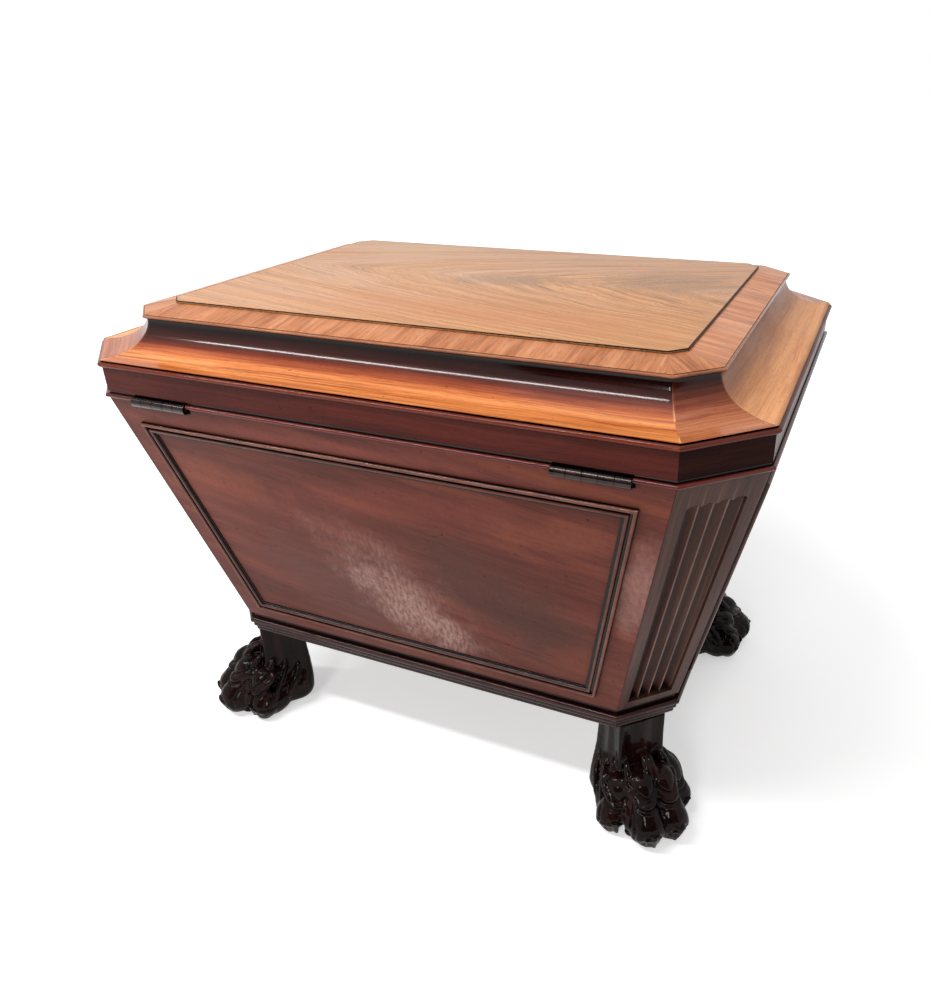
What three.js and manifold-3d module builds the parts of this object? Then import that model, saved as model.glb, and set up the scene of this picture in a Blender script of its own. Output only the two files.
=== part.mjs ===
// A sarcophagus cellarette: a tapered mahogany case with canted, fluted corners on four paw feet,
// under a hinged lid with a mitred cavetto. Millimetres, +Z up, origin on the floor under the middle.
// The front faces -Y, the hinged rear +Y, and the length runs along X.
import * as THREE from "three";
import { mergeVertices } from "three/addons/utils/BufferGeometryUtils.js";
import Module from "manifold-3d";

// Overall sizes
const lidLength = 750; // over the widest edge of the lid
const lidDepth = 568;
const lidCornerCut = 66.5; // what the cant takes off each side at the lid's widest edge
const legHeight = 136;
const baseMouldingHeight = 32;
const caseHeight = 307;
const caseTaper = 72.5; // how far each side draws in from the rim to the foot of the case
const footCornerCut = 53.5;

// Clearances
const fit = 0.3; // between pieces that are glued, screwed or laid together
const closingGap = 0.6; // between the closed lid and the rim
const slack = 0.6; // round pieces that slide or turn
const overrun = 5; // how far a cutter runs past what it cuts

// Lid section, from the closing line upwards
const beadProjection = 4;
const beadHeight = 6.7;
const beadTongue = 5; // the part of the bead that is let into the frieze
const friezeHeight = 32.5;
const friezeThickness = 18;
const torusHeight = 6.6;
const torusQuirk = 2.5; // how far the cavetto starts behind the torus below it
const coveSpread = 53.5;
const coveRise = 32.5;
const coveSeatHeight = 1.5;
const coveSeatWidth = 18;
const coveBackRise = 14; // height of the cavetto's inner edge under its seat
const topOverhang = 4;
const lipThickness = 3.4;
const lipRound = 2.4;
const topBoardThickness = 14; // from the upper side of the lip down
const veneerThickness = 1.4;
const quirkWidth = 2.4; // the lip that shows outside the crossbanding
const quirkDepth = 1.3; // how deep the crossbanding is let in behind the lip
const crossbandWidth = 34;
const borderRise = 5.8; // how far the crossbanded border slopes up to the field
const fieldRise = 2.4; // how far the field stands above the crossbanding
const stringingWidth = 1.2; // the black line on edge round the raised field

// Case
const wallThickness = 18;
const baseBoardThickness = 16;
const baseFrameWidth = 75;

// Applied panel moulding on each long side and end
const panelMarginTop = 27;
const panelMarginFoot = 16;
const panelMarginSide = 25.5;
const panelMouldingWidth = 13;
const panelMouldingHeight = 4.2;
const panelBeadShares = [[0, 0.33, 1], [0.48, 0.81, 0.88]]; // from and to across its width, height
const panelQuirkShare = 0.25; // how high the quirk between them stays

// Sunk and fluted panel on each canted corner
const fluteCount = 4;
const fluteMarginTop = 26;
const fluteMarginFoot = 10;
const fluteSideMarginTop = 15;
const fluteSideMarginFoot = 11.5;
const fluteRecess = 6;
const fluteDepth = 4.5;
const fluteArris = 1;
const fluteArchRise = 2.5;
const fluteRunOut = 12;
const fluteEndShares = [[1, 1], [0.33, 0.7], [-0.1, 0.15]]; // distance to the arch, depth

// Base moulding: the sunk fascia, then three beads that step in
const fasciaHeight = 9.3;
const fasciaSetback = 5;
const baseBeadHeight = 7.2;
const baseBeadQuirk = 3; // depth of the quirk between two beads
const topBeadProjection = 1.5;
const baseBeadStep = 3.2;

// Paw feet: the leg stands under the canted corner and the paw points along the diagonal
const pawReach = 60; // from the middle of the canted edge to the claws
const pawBack = 65; // from the same point back to the heel
const pawWidth = 98;

// Butt hinges
const hingeLength = 72;
const hingeMargin = 140; // from each end of the lid to the middle of a hinge
const knuckleRadius = 5.5;
const knuckleCount = 5;
const hingeProud = 1.5; // how far the pin lies outside the rear face
const leafWidth = 15;
const leafThickness = 2;
const pinRadius = 1.6;
const pinHeadRadius = 3;
const pinHeadLength = 1.2;

// Zinc liner and the divisions for bottles
const linerThickness = 1.5;
const linerBelowRim = 9;
const dividerThickness = 8;
const dividerBelowRim = 110;
const crossDividerCount = 3;

// Link-plate box lock in the front wall
const lockWidth = 62;
const lockHeight = 30;
const lockThickness = 12.5;
const lockPocketWidth = 54;
const lockPocketDepth = 16;
const lockPocketThickness = 9;
const lockSelvedge = 1.6; // metal above the pocket, pierced for the staples
const linkPlateLength = 48;
const linkPlateWidth = 11;
const linkPlateThickness = 2;
const stapleSpacing = 28;
const stapleThickness = 3;
const stapleWidth = 5;
const stapleDrop = 10;
const stapleEyeWidth = 3.4;
const stapleEyeHeight = 4.6;
const stapleWall = 1.6; // metal under the eye
const boltThickness = 2.2;
const boltBarHeight = 2.6;
const boltPostWidth = 3;
const boltFingerHeight = 2.4;
const boltFingerLength = 6;
const keyholeRadius = 2.6;

// Facet counts
const coveSteps = 10;
const beadSteps = 6;
const hollowSteps = 6;
const barrelSides = 20;
const legSides = 20;
const toeSides = 10;

// How much a corner cut shrinks, as a share of an even inset of an octagon
const cutShare = 2 - Math.SQRT2;
const sideNames = [
  "front", "front_right", "right", "rear_right", "rear", "rear_left", "left", "front_left",
];

const wasm = await Module();
wasm.setup();

// Materials
function finish(color, roughness, metalness = 0) {
  return new THREE.MeshStandardMaterial({ color, roughness, metalness, flatShading: true });
}
const flameMahogany = finish(0xb5774a, 0.3);
const crossbandMahogany = finish(0xa86a44, 0.3);
const ebonyLine = finish(0x1d1310, 0.35);
const polishedMahogany = finish(0x9a4a26, 0.28);
const darkMahogany = finish(0x55251d, 0.3);
const carvedMahogany = finish(0x241512, 0.25);
const plainMahogany = finish(0x6d3a26, 0.6);
const agedBrass = finish(0x5c4a35, 0.45, 1);
const paleSteel = finish(0x8d8a84, 0.4, 1);
const dullZinc = finish(0x8a8d8e, 0.6, 1);

// Octagons: half length, half depth and the cut of the corners
function outline(length, depth, cut) {
  return { x: length / 2, y: depth / 2, cut };
}
function inset(shape, by) {
  return { x: shape.x - by, y: shape.y - by, cut: shape.cut - cutShare * by };
}
function between(low, high, share) {
  const mix = (key) => THREE.MathUtils.lerp(low[key], high[key], share);
  return { x: mix("x"), y: mix("y"), cut: mix("cut") };
}
// Corner k, counted anticlockwise from the left end of the front side
function corner({ x, y, cut }, k) {
  const corners = [
    [cut - x, -y], [x - cut, -y], [x, cut - y], [x, y - cut],
    [x - cut, y], [cut - x, y], [-x, y - cut], [-x, cut - y],
  ];
  return corners[k % corners.length];
}

// Turns a triangle list outwards and makes it a geometry
function closedSurface(points, index) {
  let volume = 0;
  const [a, b, c] = [new THREE.Vector3(), new THREE.Vector3(), new THREE.Vector3()];
  for (let i = 0; i < index.length; i += 3) {
    a.fromArray(points[index[i]]);
    b.fromArray(points[index[i + 1]]);
    c.fromArray(points[index[i + 2]]);
    volume += a.dot(b.cross(c));
  }
  const geometry = new THREE.BufferGeometry();
  geometry.setAttribute("position", new THREE.Float32BufferAttribute(points.flat(), 3));
  geometry.setIndex(volume < 0 ? index.slice().reverse() : index);
  return geometry;
}

// Joins rings of points into a solid. With a flat plan of the ring the two ends are capped,
// without one the last ring meets the first.
function loft(rings, plan) {
  const size = rings[0].length;
  const last = plan ? rings.length - 1 : rings.length;
  const index = [];
  for (let k = 0; k < last; k++) {
    const next = (k + 1) % rings.length;
    for (let j = 0; j < size; j++) {
      const over = (j + 1) % size;
      index.push(k * size + j, k * size + over, next * size + over);
      index.push(k * size + j, next * size + over, next * size + j);
    }
  }
  if (plan) {
    const flat = plan.map(([u, v]) => new THREE.Vector2(u, v));
    const turned = THREE.ShapeUtils.isClockWise(flat);
    const end = last * size;
    for (const face of THREE.ShapeUtils.triangulateShape(flat, [])) {
      const [a, b, c] = turned ? [face[2], face[1], face[0]] : face;
      index.push(c, b, a, end + a, end + b, end + c);
    }
  }
  return closedSurface(rings.flat(), index);
}

// One side of a moulding or wall that follows an octagon: the profile is a list of insets and
// heights, at(inset, height) gives the octagon there, and both ends are mitred.
function mitredLength(at, profile, side) {
  const [from, to] = [side, side + 1].map((k) => corner(at(0, 0), k));
  const run = new THREE.Vector2(to[0] - from[0], to[1] - from[1]).setLength(fit / 2);
  const ends = [side, side + 1].map((k, n) => {
    const way = n ? -1 : 1;
    return profile.map(([by, z]) => {
      const [x, y] = corner(at(by, z), k);
      return [x + way * run.x, y + way * run.y, z];
    });
  });
  return loft(ends, profile);
}
function mitredRing(at, profile) {
  return loft(sideNames.map((_, k) => profile.map(([by, z]) => [...corner(at(by, z), k), z])));
}
// A flat octagonal slab whose edge follows the profile of insets and heights
function octagonSlab(at, profile) {
  const rings = profile.map(([by, z]) => sideNames.map((_, k) => [...corner(at(by, z), k), z]));
  return loft(rings, rings[0]);
}

// Half-round nose from one height to another, standing out from an inset to an outermost one
function nose(foot, out, from, to, steps = beadSteps) {
  const middle = (from + to) / 2;
  return Array.from({ length: steps + 1 }, (_, i) => {
    const turn = (Math.PI * i) / steps;
    return [foot + (out - foot) * Math.sin(turn), middle + (from - middle) * Math.cos(turn)];
  });
}

// Booleans
function solid(geometry) {
  const bare = geometry.clone();
  bare.deleteAttribute("normal");
  bare.deleteAttribute("uv");
  const merged = mergeVertices(bare);
  return new wasm.Manifold(
    new wasm.Mesh({
      numProp: 3,
      vertProperties: merged.attributes.position.array,
      triVerts: new Uint32Array(merged.index.array),
    }),
  );
}
function surface(made) {
  const mesh = made.getMesh();
  const geometry = new THREE.BufferGeometry();
  geometry.setAttribute("position", new THREE.BufferAttribute(mesh.vertProperties, mesh.numProp));
  geometry.setIndex(new THREE.BufferAttribute(mesh.triVerts, 1));
  return geometry;
}
function cut(geometry, ...tools) {
  return surface(tools.reduce((left, tool) => left.subtract(solid(tool)), solid(geometry)));
}
function join(...geometries) {
  return surface(geometries.map(solid).reduce((sum, next) => sum.add(next)));
}
// A box between two corners
function block([x0, y0, z0], [x1, y1, z1]) {
  const box = new THREE.BoxGeometry(x1 - x0, y1 - y0, z1 - z0);
  return box.translate((x0 + x1) / 2, (y0 + y1) / 2, (z0 + z1) / 2);
}
// A round bar along X between two places
function bar(radius, from, to) {
  const round = new THREE.CylinderGeometry(radius, radius, to - from, barrelSides);
  return round.rotateZ(Math.PI / 2).translate((from + to) / 2, 0, 0);
}

// Heights in the lid, above the closing line
const lidFoot = closingGap / 2;
const friezeTop = lidFoot + friezeHeight;
const torusFoot = friezeTop + fit;
const coveFoot = torusFoot + torusHeight;
const coveTop = coveFoot + coveRise;
const lipFoot = coveTop + coveSeatHeight + fit;
const lipTop = lipFoot + lipThickness;
const borderFoot = lipTop - quirkDepth; // the crossbanding's bed at its outer edge
const borderTop = borderFoot + borderRise;
const fieldFoot = borderTop + fit;
const fieldTop = fieldFoot + veneerThickness + fieldRise;

// Insets in the lid, from its widest edge
const lipInset = torusQuirk + coveSpread - topOverhang;
const friezeInner = beadProjection + friezeThickness;
const crossbandOuter = lipInset + quirkWidth;
const crossbandInner = crossbandOuter + crossbandWidth;
const fieldOuter = crossbandInner + fit + stringingWidth + fit;

const lidOutline = outline(lidLength, lidDepth, lidCornerCut);
const rimOutline = inset(lidOutline, beadProjection);
const footOutline = {
  x: rimOutline.x - caseTaper,
  y: rimOutline.y - caseTaper,
  cut: footCornerCut,
};
const rimHeight = caseHeight - closingGap / 2;
const hingeAxisY = rimOutline.y + hingeProud;

const lidAt = (by) => inset(lidOutline, by);
const caseAt = (by, z) => inset(between(footOutline, rimOutline, z / caseHeight), by);
const footAt = (by) => inset(footOutline, by);

const group = new THREE.Group();
const lid = new THREE.Group(); // its zero height is the closing line
const carcase = new THREE.Group(); // its zero height is the foot of the case
lid.position.z = legHeight + baseMouldingHeight + caseHeight;
carcase.position.z = legHeight + baseMouldingHeight;
group.add(carcase, lid);

function place(parent, name, geometry, material) {
  geometry.computeVertexNormals();
  const mesh = new THREE.Mesh(geometry, material);
  mesh.name = name;
  parent.add(mesh);
  return mesh;
}

// Butt hinge, with its pin along X through the origin and its leaves towards -Y
const hingeStarts = [hingeMargin - lidLength / 2, lidLength / 2 - hingeMargin];
const knuckleLength = hingeLength / knuckleCount;
const knuckleEnds = (k) => {
  const start = -hingeLength / 2 + k * knuckleLength;
  return [k ? start + fit / 2 : start, start + knuckleLength - (k < knuckleCount - 1 ? fit / 2 : 0)];
};
function hingeLeaf(own, upward) {
  const inner = upward * (closingGap / 2);
  const outer = upward * (closingGap / 2 + leafThickness);
  const plate = block(
    [-hingeLength / 2, -leafWidth, Math.min(inner, outer)],
    [hingeLength / 2, 0, Math.max(inner, outer)],
  );
  const knuckles = Array.from({ length: knuckleCount }, (_, k) => k);
  const kept = knuckles.filter((k) => k % 2 === own);
  const clear = knuckles.filter((k) => k % 2 !== own);
  const cleared = cut(
    plate,
    ...clear.map((k) => {
      const [from, to] = knuckleEnds(k);
      return bar(knuckleRadius + slack, from - fit, to + fit);
    }),
  );
  const joined = join(cleared, ...kept.map((k) => bar(knuckleRadius, ...knuckleEnds(k))));
  return cut(joined, bar(pinRadius + fit, -hingeLength, hingeLength));
}
function hingePin() {
  const end = hingeLength / 2 + fit;
  return join(
    bar(pinRadius, -end, end),
    bar(pinHeadRadius, -end - pinHeadLength, -end),
    bar(pinHeadRadius, end, end + pinHeadLength),
  );
}
// What the rail and the wall lose to one hinge: the leaf's bed and room for the barrel
function hingeBed(height) {
  const half = hingeLength / 2 + fit;
  const barrelHalf = half + pinHeadLength + fit;
  const rise = closingGap / 2 + leafThickness + fit;
  return hingeStarts.flatMap((x) => [
    block([-half, -leafWidth - fit, -rise], [half, overrun, rise]).translate(x, hingeAxisY, height),
    bar(knuckleRadius + slack, -barrelHalf, barrelHalf).translate(x, hingeAxisY, height),
  ]);
}

// Lid
function friezeRail(side) {
  const rebateTop = lidFoot + beadHeight + fit;
  const rebate = beadProjection + beadTongue + fit;
  const rail = mitredLength(
    lidAt,
    [
      [rebate, lidFoot], [friezeInner, lidFoot], [friezeInner, friezeTop],
      [beadProjection, friezeTop], [beadProjection, rebateTop], [rebate, rebateTop],
    ],
    side,
  );
  if (sideNames[side] === "rear") return cut(rail, ...hingeBed(0));
  if (sideNames[side] === "front") return cut(rail, linkPlateBed());
  return rail;
}
function lidBead() {
  const tongue = beadProjection + beadTongue;
  const ring = mitredRing(lidAt, [
    [tongue, lidFoot + beadHeight],
    ...nose(beadProjection, 0, lidFoot + beadHeight, lidFoot),
    [tongue, lidFoot],
  ]);
  const half = hingeLength / 2 + fit + pinHeadLength + fit;
  const gaps = hingeStarts.map((x) =>
    block(
      [x - half, lidOutline.y - beadProjection, -overrun],
      [x + half, lidOutline.y + overrun, lidFoot + beadHeight + overrun],
    ),
  );
  return cut(ring, ...gaps, ...hingeBed(0));
}
function cavetto(side) {
  const coveCurve = Array.from({ length: coveSteps + 1 }, (_, i) => {
    const turn = ((Math.PI / 2) * i) / coveSteps;
    return [torusQuirk + coveSpread * Math.sin(turn), coveTop - coveRise * Math.cos(turn)];
  });
  const seatTop = coveTop + coveSeatHeight;
  const seatInner = torusQuirk + coveSpread + coveSeatWidth;
  return mitredLength(
    lidAt,
    [
      ...nose(beadProjection, 0, torusFoot, coveFoot),
      ...coveCurve,
      [torusQuirk + coveSpread, seatTop],
      [seatInner, seatTop],
      [seatInner, coveTop - coveBackRise],
      [friezeInner, torusFoot],
    ],
    side,
  );
}
function topBoard() {
  const boardInset = torusQuirk + coveSpread + coveSeatWidth + fit;
  return octagonSlab(lidAt, [
    [boardInset, lipTop - topBoardThickness],
    [boardInset, lipFoot],
    [lipInset + lipRound / 2, lipFoot],
    ...nose(lipInset + lipRound, lipInset, lipFoot, lipTop).slice(1, -1),
    [lipInset + lipRound / 2, lipTop],
    [crossbandOuter - fit, lipTop],
    [crossbandOuter - fit, borderFoot],
    [crossbandInner, borderTop],
  ]);
}
function crossband(side) {
  return mitredLength(
    lidAt,
    [
      [crossbandInner, borderTop + fit], [crossbandInner, borderTop + fit + veneerThickness],
      [crossbandOuter, borderFoot + fit + veneerThickness], [crossbandOuter, borderFoot + fit],
    ],
    side,
  );
}
function stringing() {
  const [out, into] = [crossbandInner + fit, crossbandInner + fit + stringingWidth];
  return mitredRing(lidAt, [[out, fieldFoot], [into, fieldFoot], [into, fieldTop], [out, fieldTop]]);
}
function raisedField() {
  return octagonSlab(lidAt, [[fieldOuter, fieldFoot], [fieldOuter, fieldTop]]);
}

// The flat frame of one outer face of the case: X along the rim, Y up the slope, Z outwards
function faceFrame(side) {
  const middle = (shape, z) => {
    const [a, b] = [corner(shape, side), corner(shape, side + 1)];
    return new THREE.Vector3((a[0] + b[0]) / 2, (a[1] + b[1]) / 2, z);
  };
  const width = (shape) => {
    const [a, b] = [corner(shape, side), corner(shape, side + 1)];
    return Math.hypot(b[0] - a[0], b[1] - a[1]);
  };
  const [a, b] = [corner(rimOutline, side), corner(rimOutline, side + 1)];
  const rim = middle(rimOutline, caseHeight);
  const along = new THREE.Vector3(b[0] - a[0], b[1] - a[1], 0).normalize();
  const up = rim.clone().sub(middle(footOutline, 0));
  const slope = up.length();
  up.normalize();
  const matrix = new THREE.Matrix4().makeBasis(along, up, along.clone().cross(up));
  matrix.setPosition(rim);
  return { matrix, slope, rimWidth: width(rimOutline), footWidth: width(footOutline) };
}

// Case walls
function wallBlank(side) {
  return mitredLength(
    caseAt,
    [[0, 0], [0, rimHeight], [wallThickness, rimHeight], [wallThickness, 0]],
    side,
  );
}
function flutedCorner(side) {
  const { matrix, slope, rimWidth, footWidth } = faceFrame(side);
  const top = -fluteMarginTop;
  const foot = fluteMarginFoot - slope;
  const halfAt = (y) => {
    const face = THREE.MathUtils.lerp(rimWidth, footWidth, -y / slope) / 2;
    const margin = THREE.MathUtils.lerp(fluteSideMarginTop, fluteSideMarginFoot, -y / slope);
    return face - margin;
  };
  const pitchAt = (y) => (2 * halfAt(y)) / fluteCount;
  // the sunk panel, whose upper edge is scalloped over each flute
  const panel = new THREE.Shape();
  panel.moveTo(-halfAt(foot), foot);
  panel.lineTo(halfAt(foot), foot);
  panel.lineTo(halfAt(top), top);
  for (let k = fluteCount; k > 0; k--) {
    const left = -halfAt(top) + (k - 1) * pitchAt(top);
    panel.quadraticCurveTo(left + pitchAt(top) / 2, top + 2 * fluteArchRise, left, top);
  }
  const sunk = new THREE.ExtrudeGeometry(panel, {
    depth: fluteRecess + overrun,
    bevelEnabled: false,
    curveSegments: beadSteps,
  }).translate(0, 0, -fluteRecess);
  // one hollow below the sunk panel, which runs out under its arch
  const hollow = (k) => {
    const stations = [
      [foot, 1], ...fluteEndShares.map(([run, depth]) => [top - fluteRunOut * run, depth]),
    ];
    const rings = stations.map(([y, depthShare]) => {
      const centre = -halfAt(y) + (k + 1 / 2) * pitchAt(y);
      const half = (pitchAt(y) - fluteArris) / 2;
      const arc = Array.from({ length: hollowSteps + 1 }, (_, i) => {
        const turn = (Math.PI * i) / hollowSteps;
        const deep = fluteRecess + fluteDepth * depthShare * Math.sin(turn);
        return [centre - half * Math.cos(turn), y, -deep];
      });
      return [...arc, [centre + half, y, -fluteRecess / 2], [centre - half, y, -fluteRecess / 2]];
    });
    return loft(rings, rings[0].map(([x, , z]) => [x, z]));
  };
  const hollows = Array.from({ length: fluteCount }, (_, k) => hollow(k));
  const tools = [sunk, ...hollows].map((tool) => tool.applyMatrix4(matrix));
  return cut(wallBlank(side), ...tools);
}
function wall(side) {
  if (side % 2) return flutedCorner(side);
  if (sideNames[side] === "rear") return cut(wallBlank(side), ...hingeBed(caseHeight));
  if (sideNames[side] === "front") return cut(wallBlank(side), ...lockBed());
  return wallBlank(side);
}

// Panel moulding: two beads with quirks, mitred round the tapered panel
function panelMoulding(side) {
  const { slope, rimWidth, footWidth } = faceFrame(side);
  const rake = (rimWidth - footWidth) / 2 / slope; // sideways run of an arris for each step down
  const stretch = Math.hypot(1, rake);
  const halfAt = (y, by) => rimWidth / 2 + rake * y - (panelMarginSide + by) * stretch;
  const ringAt = (by, height) => {
    const top = -panelMarginTop - by;
    const foot = panelMarginFoot + by - slope;
    return [
      [-halfAt(foot, by), foot, height], [halfAt(foot, by), foot, height],
      [halfAt(top, by), top, height], [-halfAt(top, by), top, height],
    ];
  };
  const quirk = panelMouldingHeight * panelQuirkShare;
  const beads = panelBeadShares.flatMap(([from, to, high]) => {
    const ends = [panelMouldingWidth * from, panelMouldingWidth * to];
    return nose(quirk, panelMouldingHeight * high, ...ends).map(([rise, across]) => [across, rise]);
  });
  const profile = [[0, fit], ...beads, [panelMouldingWidth, quirk], [panelMouldingWidth, fit]];
  const rings = [0, 1, 2, 3].map((k) => profile.map(([by, height]) => ringAt(by, height)[k]));
  return loft(rings);
}

// Base of the case
function baseBoard() {
  const edge = wallThickness + fit;
  return octagonSlab(caseAt, [[edge, 0], [edge, baseBoardThickness]]);
}
function baseFrame() {
  const beads = [0, 1, 2].flatMap((k) => {
    const from = -fasciaHeight - k * baseBeadHeight;
    const out = k * baseBeadStep - topBeadProjection;
    return nose(out + baseBeadQuirk, out, from, from - baseBeadHeight);
  });
  const foot = -baseMouldingHeight;
  const lowest = beads.at(-1)[0];
  return mitredRing(footAt, [
    [baseFrameWidth, foot],
    [baseFrameWidth, -fit],
    [fasciaSetback, -fit],
    [fasciaSetback, -fasciaHeight],
    ...beads,
    [lowest, foot],
  ]);
}

// Paw foot in its own frame: X outwards along the diagonal from the middle of the canted edge,
// Z up from the floor. The shares follow the leg height, the paw's back, reach and width.
const legStationShares = [
  // height, back, front, half width, squareness
  [0, 0.37, 0.5, 0.55, 0.2], [0.03, 0.52, 0.56, 0.63, 0.2], [0.09, 0.82, 0.6, 0.73, 0.3],
  [0.17, 0.96, 0.62, 0.82, 0.35], [0.28, 1, 0.56, 0.84, 0.35], [0.4, 0.985, 0.38, 0.76, 0.4],
  [0.52, 0.96, 0.2, 0.66, 0.5], [0.62, 0.94, 0.06, 0.59, 0.6], [0.75, 0.93, -0.05, 0.56, 0.65],
  [1, 0.92, -0.06, 0.56, 0.7],
];
const innerToeShares = [
  // outwards, height, radius: the root, the high knuckle, the low one and the blunt tip
  [0, 0.48, 0.11], [0.13, 0.5, 0.155], [0.31, 0.44, 0.17], [0.52, 0.33, 0.155],
  [0.68, 0.24, 0.17], [0.78, 0.15, 0.165], [0.79, 0.07, 0.15], [0.75, 0.01, 0.115],
];
const outerToeShares = [
  [0.1, 0.44, 0.12], [0.27, 0.445, 0.16], [0.43, 0.38, 0.18], [0.53, 0.28, 0.168],
  [0.59, 0.19, 0.182], [0.62, 0.11, 0.17], [0.61, 0.045, 0.152], [0.57, 0.01, 0.12],
];
const toes = [
  [outerToeShares, -60], [innerToeShares, -17], [innerToeShares, 17], [outerToeShares, 60],
]; // each toe's shape and its turn away from the diagonal, in degrees
function legCore(height) {
  const rings = legStationShares.map(([h, back, front, half, square]) => {
    const from = -pawBack * back;
    const to = pawReach * front;
    const power = 1 - square / 2;
    const round = (value) => Math.sign(value) * Math.abs(value) ** power;
    return Array.from({ length: legSides }, (_, i) => {
      const turn = (2 * Math.PI * (i + 1 / 2)) / legSides;
      const x = (from + to) / 2 + ((to - from) / 2) * round(Math.cos(turn));
      return [x, (pawWidth / 2) * half * round(Math.sin(turn)), height * h];
    });
  });
  return loft(rings, rings[0]);
}
function toe([shares, heading], height) {
  const places = shares.map(([out, h, radius]) => [pawReach * out, height * h, pawWidth * radius]);
  const turns = Array.from({ length: toeSides }, (_, j) => (2 * Math.PI * j) / toeSides);
  const rings = places.map(([x, z, radius], i) => {
    const [x0, z0] = places[Math.max(i - 1, 0)];
    const [x1, z1] = places[Math.min(i + 1, places.length - 1)];
    const lean = Math.atan2(z1 - z0, x1 - x0);
    return turns.map((turn) => {
      const lift = radius * Math.sin(turn);
      return [x - lift * Math.sin(lean), radius * Math.cos(turn), z + lift * Math.cos(lean)];
    });
  });
  const plan = turns.map((turn) => [Math.cos(turn), Math.sin(turn)]);
  return loft(rings, plan).rotateZ(THREE.MathUtils.degToRad(heading));
}
function pawFoot() {
  const height = legHeight - fit;
  const below = block(
    [-2 * pawBack, -pawWidth, -legHeight],
    [2 * pawReach, pawWidth, 0],
  );
  return cut(join(legCore(height), ...toes.map((shape) => toe(shape, height))), below);
}

// Liner and divisions
const linerOuter = wallThickness + fit;
const linerInner = linerOuter + linerThickness;
const linerFoot = baseBoardThickness + fit;
const linerTop = caseHeight - linerBelowRim;
const dividerFoot = linerFoot + linerThickness + fit;
const dividerTop = caseHeight - dividerBelowRim;
const dividerEnd = linerInner + fit;
function liner() {
  const floor = linerFoot + linerThickness;
  const tray = octagonSlab(caseAt, [[linerOuter, linerFoot], [linerOuter, linerTop]]);
  const room = octagonSlab(caseAt, [[linerInner, floor], [linerInner, linerTop + overrun]]);
  return cut(tray, room);
}
// A board between two opposite walls, in its own plane, with half-lap notches
function dividerBoard(halfAt, notches, fromTop) {
  const middle = (dividerFoot + dividerTop) / 2;
  const half = dividerThickness / 2;
  const board = loft(
    [-half, half].map((y) => [
      [-halfAt(dividerFoot), y, dividerFoot], [halfAt(dividerFoot), y, dividerFoot],
      [halfAt(dividerTop), y, dividerTop], [-halfAt(dividerTop), y, dividerTop],
    ]),
    [[-1, 0], [1, 0], [1, 1], [-1, 1]],
  );
  const [low, high] = fromTop
    ? [middle - fit / 2, dividerTop + overrun]
    : [dividerFoot - overrun, middle + fit / 2];
  const room = half + fit;
  const across = half + overrun;
  const laps = notches.map((x) => block([x - room, -across, low], [x + room, across, high]));
  return cut(board, ...laps);
}
const dividerPitch = (2 * caseAt(dividerEnd, dividerFoot).x) / (crossDividerCount + 1);
const crossPlaces = Array.from(
  { length: crossDividerCount },
  (_, k) => (k - (crossDividerCount - 1) / 2) * dividerPitch,
);

// Lock, in a frame that leans with the front wall: X along the wall, Z up the slope to the rim,
// Y inwards from the wall's inner face
const lockLean = Math.atan2(caseTaper, caseHeight);
const lockOrigin = new THREE.Vector3(0, -caseAt(wallThickness, rimHeight).y, rimHeight);
function leaning(geometry) {
  return geometry.rotateX(lockLean).translate(...lockOrigin.toArray());
}
const lockTop = -fit;
const stapleX = [-stapleSpacing / 2, stapleSpacing / 2];
const eyeTop = -stapleDrop + stapleWall + stapleEyeHeight;
const eyeMiddle = eyeTop - stapleEyeHeight / 2;
// where a height of the lid meets the middle plane of the leaning lock
function lockLevel(z) {
  return (z + closingGap / 2 + (lockThickness / 2) * Math.sin(lockLean)) / Math.cos(lockLean);
}
const fingerMiddle = lockLevel(eyeMiddle);
// the staples hang upright from the lid, in line with the middle of the lock at the height of their eyes
const stapleY = lockOrigin.y - (lockThickness / 2) * Math.cos(lockLean) - fingerMiddle * Math.sin(lockLean);
function lockCase() {
  const body = block([-lockWidth / 2, -lockThickness, -lockHeight], [lockWidth / 2, 0, lockTop]);
  const y = -lockThickness / 2;
  const pocketHalf = lockPocketThickness / 2;
  const pocket = block(
    [-lockPocketWidth / 2, y - pocketHalf, -lockPocketDepth],
    [lockPocketWidth / 2, y + pocketHalf, -lockSelvedge],
  );
  const windows = stapleX.map((x) => {
    const half = stapleThickness / 2 + slack;
    return block([x - half, y - pocketHalf, -lockPocketDepth / 2], [x + half, y + pocketHalf, overrun]);
  });
  return cut(body, pocket, ...windows);
}
function lockBed() {
  const room = block(
    [-lockWidth / 2 - fit, -lockThickness - fit, -lockHeight - fit],
    [lockWidth / 2 + fit, overrun, overrun],
  );
  const keyway = new THREE.CylinderGeometry(keyholeRadius, keyholeRadius, 2 * wallThickness, barrelSides);
  keyway.translate(0, -wallThickness, -(lockPocketDepth + lockHeight) / 2);
  return [leaning(room), leaning(keyway)];
}
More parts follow.
